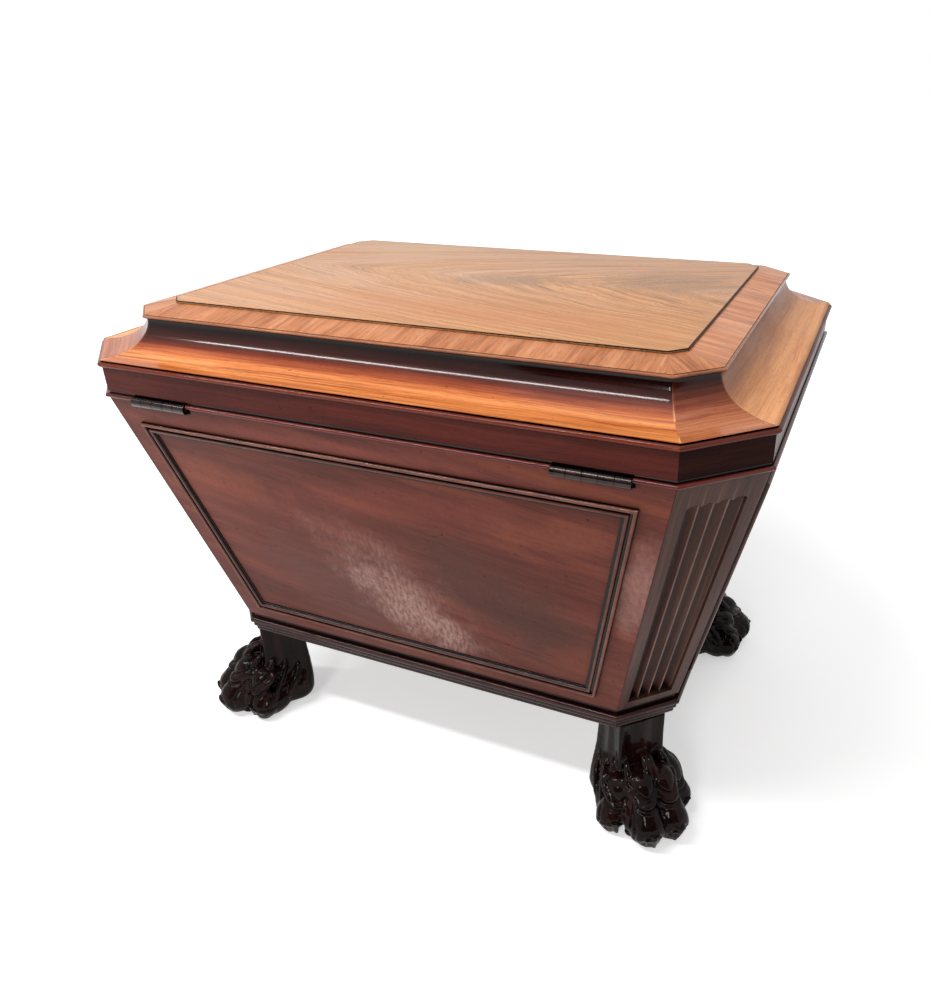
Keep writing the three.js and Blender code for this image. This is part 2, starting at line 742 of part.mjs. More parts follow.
// The bolt: a bar under the staples with a finger for each eye
const boltBarTop = lockLevel(-stapleDrop) - slack;
const fingerTip = (x) => x - stapleThickness / 2 - slack;
function lockBolt() {
  const profile = new THREE.Shape();
  const low = boltBarTop - boltBarHeight;
  const [fingerLow, fingerHigh] = [-1, 1].map((way) => fingerMiddle + (way * boltFingerHeight) / 2);
  const first = fingerTip(stapleX[0]) - boltFingerLength - boltPostWidth;
  const end = fingerTip(stapleX[1]);
  profile.moveTo(first, low);
  profile.lineTo(end, low);
  profile.lineTo(end, boltBarTop);
  for (const x of stapleX.slice().reverse()) {
    const tip = fingerTip(x);
    const post = tip - boltFingerLength;
    profile.lineTo(post, boltBarTop);
    profile.lineTo(post, fingerLow);
    profile.lineTo(tip, fingerLow);
    profile.lineTo(tip, fingerHigh);
    profile.lineTo(post - boltPostWidth, fingerHigh);
    profile.lineTo(post - boltPostWidth, boltBarTop);
  }
  const plate = new THREE.ExtrudeGeometry(profile, { depth: boltThickness, bevelEnabled: false });
  return plate.rotateX(Math.PI / 2).translate(0, (boltThickness - lockThickness) / 2, 0);
}

// Link plate under the front rail, with its two staples
function linkPlate() {
  const half = linkPlateLength / 2;
  const plate = block(
    [-half, stapleY - linkPlateWidth / 2, lidFoot],
    [half, stapleY + linkPlateWidth / 2, lidFoot + linkPlateThickness],
  );
  const staples = stapleX.map((x) =>
    block(
      [x - stapleThickness / 2, stapleY - stapleWidth / 2, -stapleDrop],
      [x + stapleThickness / 2, stapleY + stapleWidth / 2, lidFoot + linkPlateThickness / 2],
    ),
  );
  const eyes = stapleX.map((x) =>
    block(
      [x - stapleThickness, stapleY - stapleEyeWidth / 2, eyeTop - stapleEyeHeight],
      [x + stapleThickness, stapleY + stapleEyeWidth / 2, eyeTop],
    ),
  );
  return cut(join(plate, ...staples), ...eyes);
}
function linkPlateBed() {
  const half = linkPlateLength / 2 + fit;
  return block(
    [-half, stapleY - linkPlateWidth / 2 - fit, -overrun],
    [half, stapleY + linkPlateWidth / 2 + fit, lidFoot + linkPlateThickness + fit],
  );
}

// Assembly
place(lid, "lid_top_board", topBoard(), plainMahogany);
place(lid, "lid_raised_field", raisedField(), flameMahogany);
place(lid, "lid_stringing", stringing(), ebonyLine);
place(lid, "lid_bead", lidBead(), polishedMahogany);
place(lid, "lock_link_plate", linkPlate(), agedBrass);
sideNames.forEach((name, side) => {
  place(lid, "lid_crossband_" + name, crossband(side), crossbandMahogany);
  place(lid, "lid_cavetto_" + name, cavetto(side), polishedMahogany);
  place(lid, "lid_frieze_" + name, friezeRail(side), darkMahogany);
  place(carcase, (side % 2 ? "fluted_corner_" : "case_wall_") + name, wall(side), darkMahogany);
  if (side % 2) {
    const [[ax, ay], [bx, by]] = [corner(footOutline, side), corner(footOutline, side + 1)];
    const foot = place(group, "paw_foot_" + name, pawFoot(), carvedMahogany);
    foot.position.set((ax + bx) / 2, (ay + by) / 2, 0);
    foot.rotation.z = (side * Math.PI) / 4 - Math.PI / 2;
  } else {
    const moulding = place(carcase, "panel_moulding_" + name, panelMoulding(side), darkMahogany);
    moulding.applyMatrix4(faceFrame(side).matrix);
  }
});
place(carcase, "base_board", baseBoard(), plainMahogany);
place(carcase, "base_frame", baseFrame(), darkMahogany);
place(carcase, "zinc_liner", liner(), dullZinc);
const longHalf = (z) => caseAt(dividerEnd, z).x;
const crossHalf = (z) => caseAt(dividerEnd, z).y;
place(carcase, "divider_long", dividerBoard(longHalf, crossPlaces, true), plainMahogany);
crossPlaces.forEach((x, k) => {
  const board = dividerBoard(crossHalf, [0], false);
  const divider = place(carcase, "divider_cross_" + (k + 1), board, plainMahogany);
  divider.rotation.z = Math.PI / 2;
  divider.position.x = x;
});
hingeStarts.forEach((x, k) => {
  const name = ["left", "right"][k];
  const set = [
    [lid, "hinge_upper_leaf_", hingeLeaf(1, 1), agedBrass, 0],
    [carcase, "hinge_lower_leaf_", hingeLeaf(0, -1), agedBrass, caseHeight],
    [carcase, "hinge_pin_", hingePin(), paleSteel, caseHeight],
  ];
  set.forEach(([parent, kind, geometry, material, height]) => {
    place(parent, kind + name, geometry, material).position.set(x, hingeAxisY, height);
  });
});
const lock = new THREE.Group();
lock.position.copy(lockOrigin);
lock.rotation.x = lockLean;
carcase.add(lock);
place(lock, "lock_case", lockCase(), agedBrass);
place(lock, "lock_bolt", lockBolt(), paleSteel);

export default group;
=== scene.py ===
# Mahogany sarcophagus cellarette, seen from its hinged side.
from math import cos, exp, hypot, pi, radians, sin, sqrt, tan

import bmesh
import bpy
from mathutils import Matrix, Vector, kdtree, noise


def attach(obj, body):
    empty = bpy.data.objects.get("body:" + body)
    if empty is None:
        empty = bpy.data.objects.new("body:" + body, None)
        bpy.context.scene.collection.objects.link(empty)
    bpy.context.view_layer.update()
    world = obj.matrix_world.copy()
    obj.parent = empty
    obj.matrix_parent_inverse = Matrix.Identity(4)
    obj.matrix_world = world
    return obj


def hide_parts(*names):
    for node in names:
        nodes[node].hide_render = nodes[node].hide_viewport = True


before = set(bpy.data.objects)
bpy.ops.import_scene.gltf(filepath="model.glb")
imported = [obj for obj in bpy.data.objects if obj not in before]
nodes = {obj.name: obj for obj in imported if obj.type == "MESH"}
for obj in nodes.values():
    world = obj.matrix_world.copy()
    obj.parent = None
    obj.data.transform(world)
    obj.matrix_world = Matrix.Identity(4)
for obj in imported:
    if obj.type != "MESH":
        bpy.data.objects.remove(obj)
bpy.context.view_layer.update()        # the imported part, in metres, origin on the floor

scene = bpy.context.scene
scene.view_settings.view_transform = "Standard"
print("loaded", len(nodes), "pieces of the part")

sideNames = ["front", "front_right", "right", "rear_right", "rear", "rear_left", "left", "front_left"]
endNames = ("left", "right")
mitreShare = 2 - sqrt(2)   # a canted corner's cut shrinks by this much of an even inset

# the octagons that lid and case follow, in millimetres: half length, half depth, corner cut
outlines = {
    "lid": (375.0, 284.0, 66.5),
    "rim": (371.0, 280.0, 64.16),
    "foot": (298.5, 207.5, 53.5),
}
caseFoot, closingLine = 168.0, 475.0
glueLine = 0.3             # gap left between neighbouring pieces
hairLine = 0.06            # gap in a tight, polished mitre

viewpoint = {
    "place": (-0.43278, 0.86635, 0.76872),
    "forward": (0.36192, -0.81162, -0.45860),
    "roll": -1.1851,             # degrees
    "focalPixels": 823.97,
    "centre": (521.79, 503.45),  # where the lens axis meets the frame
    "frameSize": (931, 1000),
    "filmHeight": 36.0,          # millimetres
}


def setCamera(view):
    forward = Vector(view["forward"]).normalized()
    level = forward.cross(Vector((0, 0, 1))).normalized()
    upright = level.cross(forward)
    turn = radians(view["roll"])
    right = level * cos(turn) + upright * sin(turn)
    up = upright * cos(turn) - level * sin(turn)
    wide, tall = view["frameSize"]
    data = bpy.data.cameras.new("camera")
    data.sensor_fit = "VERTICAL"
    data.sensor_height = view["filmHeight"]
    data.lens = view["focalPixels"] * view["filmHeight"] / tall
    data.shift_x = (wide / 2 - view["centre"][0]) / tall
    data.shift_y = (view["centre"][1] - tall / 2) / tall
    data.clip_start = 0.01
    camera = bpy.data.objects.new("camera", data)
    scene.collection.objects.link(camera)
    turned = Matrix((right, up, -forward)).transposed().to_4x4()
    camera.matrix_world = Matrix.Translation(view["place"]) @ turned
    scene.camera = camera


setCamera(viewpoint)


def linear(hexColour):
    parts = [int(hexColour[i:i + 2], 16) / 255 for i in (1, 3, 5)]
    return tuple(p / 12.92 if p <= 0.04045 else ((p + 0.055) / 1.055) ** 2.4 for p in parts) + (1.0,)


def setStops(steps, stops):
    while len(steps) < len(stops):
        steps.new(0.5)
    for step, (place, colour) in zip(steps, stops):
        step.position = place
        step.color = linear(colour) if isinstance(colour, str) else (colour, colour, colour, 1)


def addNode(tree, kind, settings):
    # keys are input names, input numbers, properties or the stops of a ramp, and a value that is
    # a socket becomes a link; gives back the node's outputs
    node = tree.nodes.new("ShaderNode" + kind)
    for key, value in settings.items():
        if key == "stops":
            setStops(node.color_ramp.elements, value)
        elif not isinstance(key, int) and key not in node.inputs:
            setattr(node, key, value)
        elif isinstance(value, bpy.types.NodeSocket):
            tree.links.new(value, node.inputs[key])
        else:
            node.inputs[key].default_value = linear(value) if isinstance(value, str) else value
    return node.outputs


# settings of a Mix node: 0 is its share, 6 the colour below and 7 the colour above
laidOver = {"data_type": "RGBA"}
multiplied = {"data_type": "RGBA", "blend_type": "MULTIPLY"}


def newMaterial(name):
    material = bpy.data.materials.new(name)
    material.use_nodes = True
    tree = material.node_tree
    tree.nodes.clear()
    return material, tree


# Every wood here is mahogany, each cut, stained and finished in its own way. Lengths are along and
# across the grain in millimetres: figure is the broad light and dark, ribbon the stripe of
# quarter-sawn stock, fibre the finest line, pores the open vessels filled with darker polish.
# the tint on the arrises is partly wear and partly a painted highlight
finishes = {
    # crotch veneer, sanded flat and polished: the feather figure under a soft gloss
    "flameVeneer": {
        "dark": "#A87448", "middle": "#CE9364", "light": "#E2AE7E",
        "figure": (120, 14), "ribbon": (60, 3.0), "fibre": (26, 1.3), "pores": (8, 1.2), "feather": True,
        "streak": ("#7E5840", 0.8, (60, 3.4)), "curlReach": 50,
        "contrast": 0.17, "poreDepth": 0.3, "roughness": 0.34, "coat": 0.0, "gloss": 0.2, "dirtAndShade": 3,
    },
    # veneer laid with its grain square to the edge, more orange than the field
    "crossbandVeneer": {
        "dark": "#96542E", "middle": "#C07A4E", "light": "#D6946A",
        "figure": (110, 16), "ribbon": (70, 4), "fibre": (50, 1.5), "pores": (9, 1.3),
        "streak": ("#7A4426", 0.4, (90, 7)),
        "contrast": 0.16, "poreDepth": 0.35, "roughness": 0.34, "coat": 0.0, "gloss": 0.2, "dirtAndShade": 2.5,
    },
    # worked solid with the grain along the moulding, the warmest colour of the lid; the torus, the quirk and
    # the top of the hollow are darkened, the top almost black: stain and old polish, and painted shade
    "cavettoMahogany": {
        "dark": "#A04C1C", "middle": "#D98346", "light": "#F0A666",
        "figure": (320, 10), "ribbon": (140, 2.8), "fibre": (60, 1.1), "pores": (9, 1.1),
        "streak": ("#84300E", 0.7, (260, 5)),
        # millimetres round the section from the torus, and the colour that multiplies the wood there
        "stainAndPaintedLight": [(0, "#3A1A1C"), (3, "#7A4A48"), (9, "#7A4A48"), (11.5, "#180A08"), (17.5, "#180A08"),
                  (19, "#F0D8C8"), (21, "#FFFFFF"), (46, "#FFF8F0"), (52, "#F0DCE0"), (57, "#CDB0C0"),
                  (62, "#926670"), (67, "#60404C"), (74, "#402C44"), (81, "#281A2C"), (88, "#120C14"),
                  (91, "#120C14"), (97, "#8A6050")],
        "wornAndGlint": "#FFC080",
        "contrast": 0.18, "poreDepth": 0.3, "roughness": 0.24, "coat": 0.4, "gloss": 0.02, "dirtAndShade": 4,
    },
    # the same at the two ends, painted a lighter tan for the light that falls on them, with painted shade
    # # in the quirk and a painted grey-brown sheen and shade under the lip
    "litEndMahogany": {
        "dark": "#CC8450", "middle": "#E6A066", "light": "#F2B27A",
        "figure": (300, 12), "ribbon": (140, 3), "fibre": (60, 1.1), "pores": (9, 1.1),
        "streak": ("#A87048", 0.35, (90, 14)), "wornAndGlint": "#F0B078",
        "stainAndPaintedLight": [(0, "#3A2020"), (3, "#6A4444"), (9, "#6A4444"), (11.5, "#180C0A"), (13, "#20100C"),
                  (17, "#20100C"), (19, "#C0A898"), (24, "#FFFFFF"), (48, "#F4ECE8"), (62, "#D8C8C0"),
                  (80, "#C4B0A6"), (87, "#6E5850"), (91, "#6E5850"), (97, "#B08A70")],
        "contrast": 0.15, "poreDepth": 0.3, "roughness": 0.34, "coat": 0.0, "gloss": 0.12, "dirtAndShade": 4,
    },
    # small beads scraped and polished to a red gloss
    "beadMahogany": {
        "dark": "#3A0E09", "middle": "#58150F", "light": "#72261B",
        "figure": (200, 9), "ribbon": (80, 3), "fibre": (50, 1.1), "pores": (9, 1.1),
        # the sunk fillet above the bead and its foot are painted near black: painted shade
        "stainAndPaintedLight": [(0, "#120808"), (7, "#120808"), (8, "#FFFFFF"), (15.5, "#FFFFFF"), (17, "#301818")],
        "contrast": 0.15, "poreDepth": 0.2, "roughness": 0.16, "coat": 0.5, "gloss": 0.05, "dirtAndShade": 4,
    },
    # frieze veneer, little faded as it lies in the shade of the lid; its dark colour is partly painted shade
    "friezeMahogany": {
        "dark": "#3A130E", "middle": "#4E1C15", "light": "#5E261D",
        "figure": (180, 16), "ribbon": (90, 4), "fibre": (60, 1.2), "pores": (9, 1.2),
        "contrast": 0.16, "poreDepth": 0.3, "roughness": 0.36, "coat": 0.0, "gloss": 0.1, "dirtAndShade": 9,
    },
    # case veneer, stained deep red-brown, with slow figure under an uneven old polish
    "caseMahogany": {
        "dark": "#522C26", "middle": "#68372F", "light": "#7C4539",
        "figure": (280, 60), "ribbon": (180, 9), "fibre": (90, 1.6), "pores": (9, 1.3),
        "streak": ("#94503A", 0.45, (260, 30)),
        "contrast": 0.17, "poreDepth": 0.25, "roughness": 0.36, "coat": 0.0, "gloss": 0.08, "dirtAndShade": 9,
    },
    # the raised mouldings of the case: the quirks painted black as painted shade, rubbed red on the beads
    "mouldingMahogany": {
        "dark": "#32170F", "middle": "#4C251C", "light": "#683628",
        "figure": (200, 20), "ribbon": (120, 5), "fibre": (60, 1.3), "pores": (9, 1.3), "wornAndGlint": "#A06A58",
        "stainAndPaintedLight": [(0, "#0C0606"), (1.4, "#0C0606"), (3.2, "#FFFFFF"), (7.2, "#E0D0D0"), (8.8, "#0C0606"),
                  (11.6, "#0C0606"), (13, "#F0E0E0"), (16.5, "#C0B0B0"), (18.2, "#0C0606")],
        "contrast": 0.16, "poreDepth": 0.25, "roughness": 0.2, "coat": 0.3, "gloss": 0.06, "dirtAndShade": 8,
    },
    # solid corner posts, browner and duller than the veneered sides
    "cornerMahogany": {
        "dark": "#38221B", "middle": "#4E322A", "light": "#624238",
        "figure": (200, 18), "ribbon": (120, 4), "fibre": (60, 1.3), "pores": (9, 1.3), "wornAndGlint": "#8A6A60",
        "contrast": 0.16, "poreDepth": 0.3, "roughness": 0.34, "coat": 0.0, "gloss": 0.15, "dirtAndShade": 9,
    },
    # base beads, near black where polish and dirt have built up
    "baseMahogany": {
        "dark": "#1A0C0A", "middle": "#2A1310", "light": "#40201A",
        "figure": (160, 10), "ribbon": (90, 3), "fibre": (50, 1.1), "pores": (9, 1.1), "wornAndGlint": "#5E3E38",
        "contrast": 0.16, "poreDepth": 0.2, "roughness": 0.2, "coat": 0.3, "gloss": 0.05, "dirtAndShade": 7,
    },
    # carved solid, stained almost black, glossy on the high places
    "carvedMahogany": {
        "dark": "#0C0605", "middle": "#180B09", "light": "#2C1511",
        "figure": (70, 22), "ribbon": (60, 4), "fibre": (40, 1.4), "pores": (8, 1.3),
        "contrast": 0.16, "poreDepth": 0.2, "roughness": 0.2, "coat": 0.17, "gloss": 0.02, "dirtAndShade": 7,
    },
    # sawn and planed inner work, never polished
    "planedMahogany": {
        "dark": "#5A2F1E", "middle": "#72402A", "light": "#8A5336",
        "figure": (220, 20), "ribbon": (110, 5), "fibre": (70, 1.4), "pores": (12, 1.3),
        "contrast": 0.16, "poreDepth": 0.6, "roughness": 0.62, "coat": 0.0, "gloss": 0.3, "dirtAndShade": 6,
    },
}

# what every wood shares, with the sizes of its patterns in millimetres
grain = {
    "wander": 200, "wanderReach": 14, "featherReach": 55,   # how often and how far the grain wanders
    "curl": 50, "dullness": 111.1, "rubbing": 25, "specks": 5.882, "ripple": 6.25, "uneven": 71.43,
    "ragged": 38.46, "mottle": (3.333, 3.333, 10),          # of the patches
    "patchEdge": (1.25, 0.25),                              # from their rim to full strength
    "stainSpan": 100, "stainDrift": 0.03,                   # round a moulding's section
    "ribbonShare": 0.34, "fibreShare": 0.22,
    "ink": (0.12, 0.07, 0.05, 1), "poreFill": (0.35, 0.25, 0.22, 1),
    "relief": 0.6, "polish": 0.1,                           # bump in mm, roughness of the clear coat
}
# the crotch figure: where its spine lies in millimetres, its opening, and how that grows outwards
feather = {"spine": -25, "open": 1.3, "bend": 7.0}

# What sun, polish and handling have left on two surfaces, among them patches of painted shade and
# # painted sheen: colour, amount, centre and half sizes in millimetres, turn in degrees, raggedness,
# # mottle. The places are X and Z on the rear wall, X and Y on the field.
rearPatches = [
    ("#4C322C", 0.72, (-136, 292), (170, 58), 34, 0.5, 0.1),    # greyed, dull polish
    ("#8A483C", 0.4, (-20, 400), (170, 24), -5, 0.5, 0.2),
    ("#64443F", 0.55, (90, 262), (120, 60), 20, 0.5, 0.1),
    ("#A45A42", 0.4, (200, 388), (100, 26), 10, 0.5, 0.2),     # thinner stain
    ("#96543F", 0.35, (-190, 398), (90, 22), -8, 0.5, 0.2),
    ("#3C2420", 0.6, (284, 335), (160, 12), 79, 0.4, 0.1),     # the shaded left edge
    ("#8A4A40", 0.5, (60, 455), (260, 16), 0, 0.5, 0.2),
    ("#8E4A38", 0.4, (-215, 235), (50, 30), -12, 0.5, 0.2),
    ("#B88C82", 0.5, (-272, 352), (70, 22), -79, 0.5, 0.3),    # bloomed polish: the right stile
    ("#B08A80", 0.36, (2, 278), (112, 52), 41, 0.9, 0.6),      # the broad pale band, with the next: painted sheen, a reflection in the polish
    ("#C4A094", 0.42, (-16, 242), (84, 38), 40, 0.9, 0.7),
]
fieldPatches = [
    ("#94785E", 0.7, (-40, -14), (80, 30), 10, 0.7, 0.5),      # grey bloom in the middle
    ("#8E7058", 0.6, (-205, -60), (86, 70), 0, 0.6, 0.5),
    ("#D6A97E", 0.5, (180, -150), (150, 50), 0, 0.4, 0.2),     # paler far side: painted sheen of the polish
    ("#C07C50", 0.55, (-20, 130), (260, 56), 0, 0.5, 0.4),
]


def patchMask(tree, place, axes, centre, size, turn, spread):
    # a soft, ragged ellipse in the plane of two axes
    turned = radians(turn)
    u, v = Vector(axes[0]), Vector(axes[1])
    long, short = u * cos(turned) + v * sin(turned), v * cos(turned) - u * sin(turned)
    middle = (u * centre[0] + v * centre[1]) * 0.001
    offset = addNode(tree, "VectorMath", {"operation": "SUBTRACT", 0: place, 1: tuple(middle)})["Vector"]
    parts = []
    for axis, length in ((long, size[0]), (short, size[1])):
        scaled = tuple(axis * (1000 / length))
        parts.append(addNode(tree, "VectorMath", {"operation": "DOT_PRODUCT", 0: offset, 1: scaled})["Value"])
    flat = addNode(tree, "CombineXYZ", dict(zip("XY", parts)))["Vector"]
    far = addNode(tree, "VectorMath", {"operation": "LENGTH", 0: flat})["Value"]
    ragged = addNode(tree, "TexNoise", {
        "Vector": place, "Scale": 1000 / grain["ragged"], "Detail": 4.0, "Roughness": 0.6})["Fac"]
    ragged = addNode(tree, "Math", {"operation": "MULTIPLY_ADD", 0: ragged, 1: spread * 2, 2: -spread})[0]
    far = addNode(tree, "Math", {"operation": "ADD", 0: far, 1: ragged})[0]
    rim, full = grain["patchEdge"]
    return addNode(tree, "MapRange", {
        "interpolation_type": "SMOOTHSTEP", "From Min": rim, "From Max": full, "Value": far})["Result"]


def featherPlace(tree, place):
    # crotch figure: lines that leave a spine along X and bend over towards -X
    parts = addNode(tree, "SeparateXYZ", {"Vector": place})
    away = addNode(tree, "Math", {"operation": "ADD", 0: parts["Y"], 1: -feather["spine"] / 1000})[0]
    away = addNode(tree, "Math", {"operation": "ABSOLUTE", 0: away})[0]
    bent = addNode(tree, "Math", {
        "operation": "MULTIPLY_ADD", 0: away, 1: feather["bend"], 2: feather["open"]})[0]
    bent = addNode(tree, "Math", {"operation": "MULTIPLY", 0: bent, 1: away})[0]
    across = addNode(tree, "Math", {"operation": "ADD", 0: parts["X"], 1: bent})[0]
    return addNode(tree, "CombineXYZ", {"X": away, "Y": across, "Z": parts["Z"]})["Vector"]


def grainPlace(tree, look, flat, along, across, useUv, seed):
    # coordinates whose X runs along the grain
    x, y = Vector(along).normalized(), Vector(across).normalized()
    turned = flat
    if look.get("feather"):
        turned = featherPlace(tree, flat)
    elif not useUv:
        parts = [addNode(tree, "VectorMath", {"operation": "DOT_PRODUCT", 0: flat, 1: tuple(v)})["Value"]
                 for v in (x, y, x.cross(y))]
        turned = addNode(tree, "CombineXYZ", dict(zip("XYZ", parts)))["Vector"]
    shift = (seed, seed * 0.37, seed * 0.61)
    return addNode(tree, "VectorMath", {"operation": "ADD", 0: turned, 1: shift})["Vector"]


def wandering(tree, course, place, size, reach, detail, rough):
    # pushes the grain aside by a slow noise
    push = addNode(tree, "TexNoise", {
        "Vector": place, "Scale": 1000 / size, "Detail": detail, "Roughness": rough})["Color"]
    push = addNode(tree, "VectorMath", {
        "operation": "MULTIPLY_ADD", 0: push, 1: reach, 2: tuple(-r / 2 for r in reach)})["Vector"]
    return addNode(tree, "VectorMath", {"operation": "ADD", 0: course, 1: push})["Vector"]


def patched(tree, colour, flat, patches, axes):
    for tint, amount, centre, size, turn, ragged, mottle in patches:
        mask = patchMask(tree, flat, axes, centre, size, turn, ragged)
        # an orange-peel mottle shows through the patch
        scales = tuple(1000 / length for length in grain["mottle"])
        fine = addNode(tree, "VectorMath", {"operation": "MULTIPLY", 0: flat, 1: scales})["Vector"]
        fine = addNode(tree, "TexNoise", {"Vector": fine, "Scale": 1.0, "Detail": 2.5})["Fac"]
        through = addNode(tree, "MapRange", {
            "From Min": 0.34, "From Max": 0.66, "To Min": amount * (1 - mottle),
            "To Max": amount * (1 + 0.4 * mottle), "Value": fine})["Result"]
        mask = addNode(tree, "Math", {"operation": "MULTIPLY", 0: mask, 1: through})[0]
        colour = addNode(tree, "Mix", {**laidOver, 0: mask, 6: colour, 7: tint})[2]
    return colour


def rubbedAndGlinting(tree, colour, flat, tint):
    # arrises that hands and dusters have rubbed through the stain, painted lighter also as a highlight where
    # they catch the light
    arris = addNode(tree, "Attribute", {"attribute_name": "arris"})["Fac"]
    arris = addNode(tree, "MapRange", {
        "From Min": 0.03, "From Max": 0.3, "To Max": 1.5, "Value": arris})["Result"]
    uneven = addNode(tree, "TexNoise", {
        "Vector": flat, "Scale": 1000 / grain["rubbing"], "Detail": 3.0})["Fac"]
    mask = addNode(tree, "Math", {"operation": "MULTIPLY", "use_clamp": True, 0: arris, 1: uneven})[0]
    return addNode(tree, "Mix", {**laidOver, 0: mask, 6: colour, 7: tint})[2]


def stainedWithPaintedLight(tree, colour, flat, stainAndPaintedLight):
    # the UV runs round the section, so the stain and the painted shade in the quirks and hollows can follow
    # the moulding's height
    girth = addNode(tree, "SeparateXYZ", {"Vector": flat})["Y"]
    uneven = addNode(tree, "TexNoise", {
        "Vector": flat, "Scale": 1000 / grain["uneven"], "Detail": 3.0})["Fac"]
    drift, span = grain["stainDrift"], grain["stainSpan"]
    uneven = addNode(tree, "Math", {"operation": "MULTIPLY_ADD", 0: uneven, 1: drift, 2: -drift / 2})[0]
    share = addNode(tree, "Math", {"operation": "MULTIPLY_ADD", 0: girth, 1: 1000 / span, 2: uneven})[0]
    stops = [(at / span, tint) for at, tint in stainAndPaintedLight]
    depth = addNode(tree, "ValToRGB", {"Fac": share, "stops": stops})["Color"]
    return addNode(tree, "Mix", {**multiplied, 0: 1.0, 6: colour, 7: depth})[2]


def dirtiedAndShaded(tree, colour, reach, stops):
    # old polish, wax and dirt, and painted shade from the ambient occlusion, darken the inner corners
    nook = addNode(tree, "AmbientOcclusion", {"Distance": reach / 1000, "samples": 6})["AO"]
    nook = addNode(tree, "ValToRGB", {"Fac": nook, "stops": stops})["Color"]
    return addNode(tree, "Mix", {**multiplied, 0: 1.0, 6: colour, 7: nook})[2]


def woodMaterial(name, look, along=(1, 0, 0), across=(0, 1, 0), useUv=False, seed=0.0, patches=(), axes=None):
    material, tree = newMaterial(name)
    flat = addNode(tree, "TexCoord", {})["UV" if useUv else "Object"]
    place = grainPlace(tree, look, flat, along, across, useUv, seed)
    reach = grain["featherReach" if look.get("feather") else "wanderReach"] / 1000
    course = wandering(tree, place, place, grain["wander"], (0.0, reach, reach), 3.0, 0.5)
    if look.get("curlReach"):
        # the feather also curls round every small flaw
        course = wandering(tree, course, flat, grain["curl"], (0.0, look["curlReach"] / 1000, 0.0), 5.0, 0.6)

    def stretched(size, detail, rough=0.5):
        scales = (1000 / size[0], 1000 / size[1], 1000 / size[1])
        drawn = addNode(tree, "VectorMath", {"operation": "MULTIPLY", 0: course, 1: scales})["Vector"]
        return addNode(tree, "TexNoise", {
            "Vector": drawn, "Scale": 1.0, "Detail": detail, "Roughness": rough})["Fac"]

    figure, ribbon = stretched(look["figure"], 3.0), stretched(look["ribbon"], 2.0)
    fibre, pores = stretched(look["fibre"], 1.0), stretched(look["pores"], 1.0)
    mixed = addNode(tree, "Mix", {"data_type": "FLOAT", 0: grain["ribbonShare"], 2: figure, 3: ribbon})[0]
    mixed = addNode(tree, "Mix", {"data_type": "FLOAT", 0: grain["fibreShare"], 2: mixed, 3: fibre})[0]
    spread = look["contrast"]
    colour = addNode(tree, "ValToRGB", {"Fac": mixed, "stops": [
        (0.5 - spread, look["dark"]), (0.5, look["middle"]), (0.5 + spread, look["light"])]})["Color"]
    if look.get("streak"):
        tint, amount, size = look["streak"]
        mask = addNode(tree, "ValToRGB", {
            "Fac": stretched(size, 4.0, 0.62), "stops": [(0.5, 0.0), (0.68, amount)]})["Color"]
        colour = addNode(tree, "Mix", {**laidOver, 0: mask, 6: colour, 7: tint})[2]
    colour = patched(tree, colour, flat, patches, axes)
    if look.get("wornAndGlint"):
        colour = rubbedAndGlinting(tree, colour, flat, look["wornAndGlint"])
    if look.get("stainAndPaintedLight"):
        colour = stainedWithPaintedLight(tree, colour, flat, look["stainAndPaintedLight"])
    # small dents and ink-dark specks
    specks = addNode(tree, "TexNoise", {
        "Vector": flat, "Scale": 1000 / grain["specks"], "Detail": 1.0})["Fac"]
    specks = addNode(tree, "ValToRGB", {"Fac": specks, "stops": [(0.75, 0.0), (0.77, 0.5)]})["Color"]
    colour = addNode(tree, "Mix", {**multiplied, 0: specks, 6: colour, 7: grain["ink"]})[2]
    poreMask = addNode(tree, "ValToRGB", {"Fac": pores, "stops": [(0.3, 1.0), (0.42, 0.0)]})["Color"]
    shade = addNode(tree, "Math", {"operation": "MULTIPLY", 0: poreMask, 1: look["poreDepth"]})[0]
    colour = addNode(tree, "Mix", {**multiplied, 0: shade, 6: colour, 7: grain["poreFill"]})[2]
    colour = dirtiedAndShaded(tree, colour, look["dirtAndShade"], [(0.45, 0.04), (0.92, 1.0)])
    # the polish is duller in some places than in others
    dull = addNode(tree, "TexNoise", {
        "Vector": place, "Scale": 1000 / grain["dullness"], "Detail": 4.0})["Fac"]
    dull = addNode(tree, "MapRange", {
        "From Min": 0.3, "From Max": 0.7, "To Min": look["roughness"] - 0.06,
        "To Max": look["roughness"] + 0.1, "Value": dull})["Result"]
    height = addNode(tree, "Math", {"operation": "MULTIPLY_ADD", 0: poreMask, 1: -0.6, 2: 0.5})[0]
    height = addNode(tree, "Math", {"operation": "ADD", 0: height, 1: fibre})[0]
    # polish rubbed on by hand stands in low ripples
    ripple = addNode(tree, "TexNoise", {"Vector": place, "Scale": 1000 / grain["ripple"]})["Fac"]
    height = addNode(tree, "Math", {"operation": "MULTIPLY_ADD", 0: ripple, 1: 1.5, 2: height})[0]
    bump = addNode(tree, "Bump", {
        "Strength": 0.1, "Distance": grain["relief"] / 1000, "Height": height})["Normal"]
    shader = addNode(tree, "BsdfPrincipled", {
        "Base Color": colour, "Roughness": dull, "Normal": bump,
        "Specular IOR Level": look["gloss"], "Coat Weight": look["coat"], "Coat Roughness": grain["polish"],
    })["BSDF"]
    addNode(tree, "OutputMaterial", {"Surface": shader})
    return material


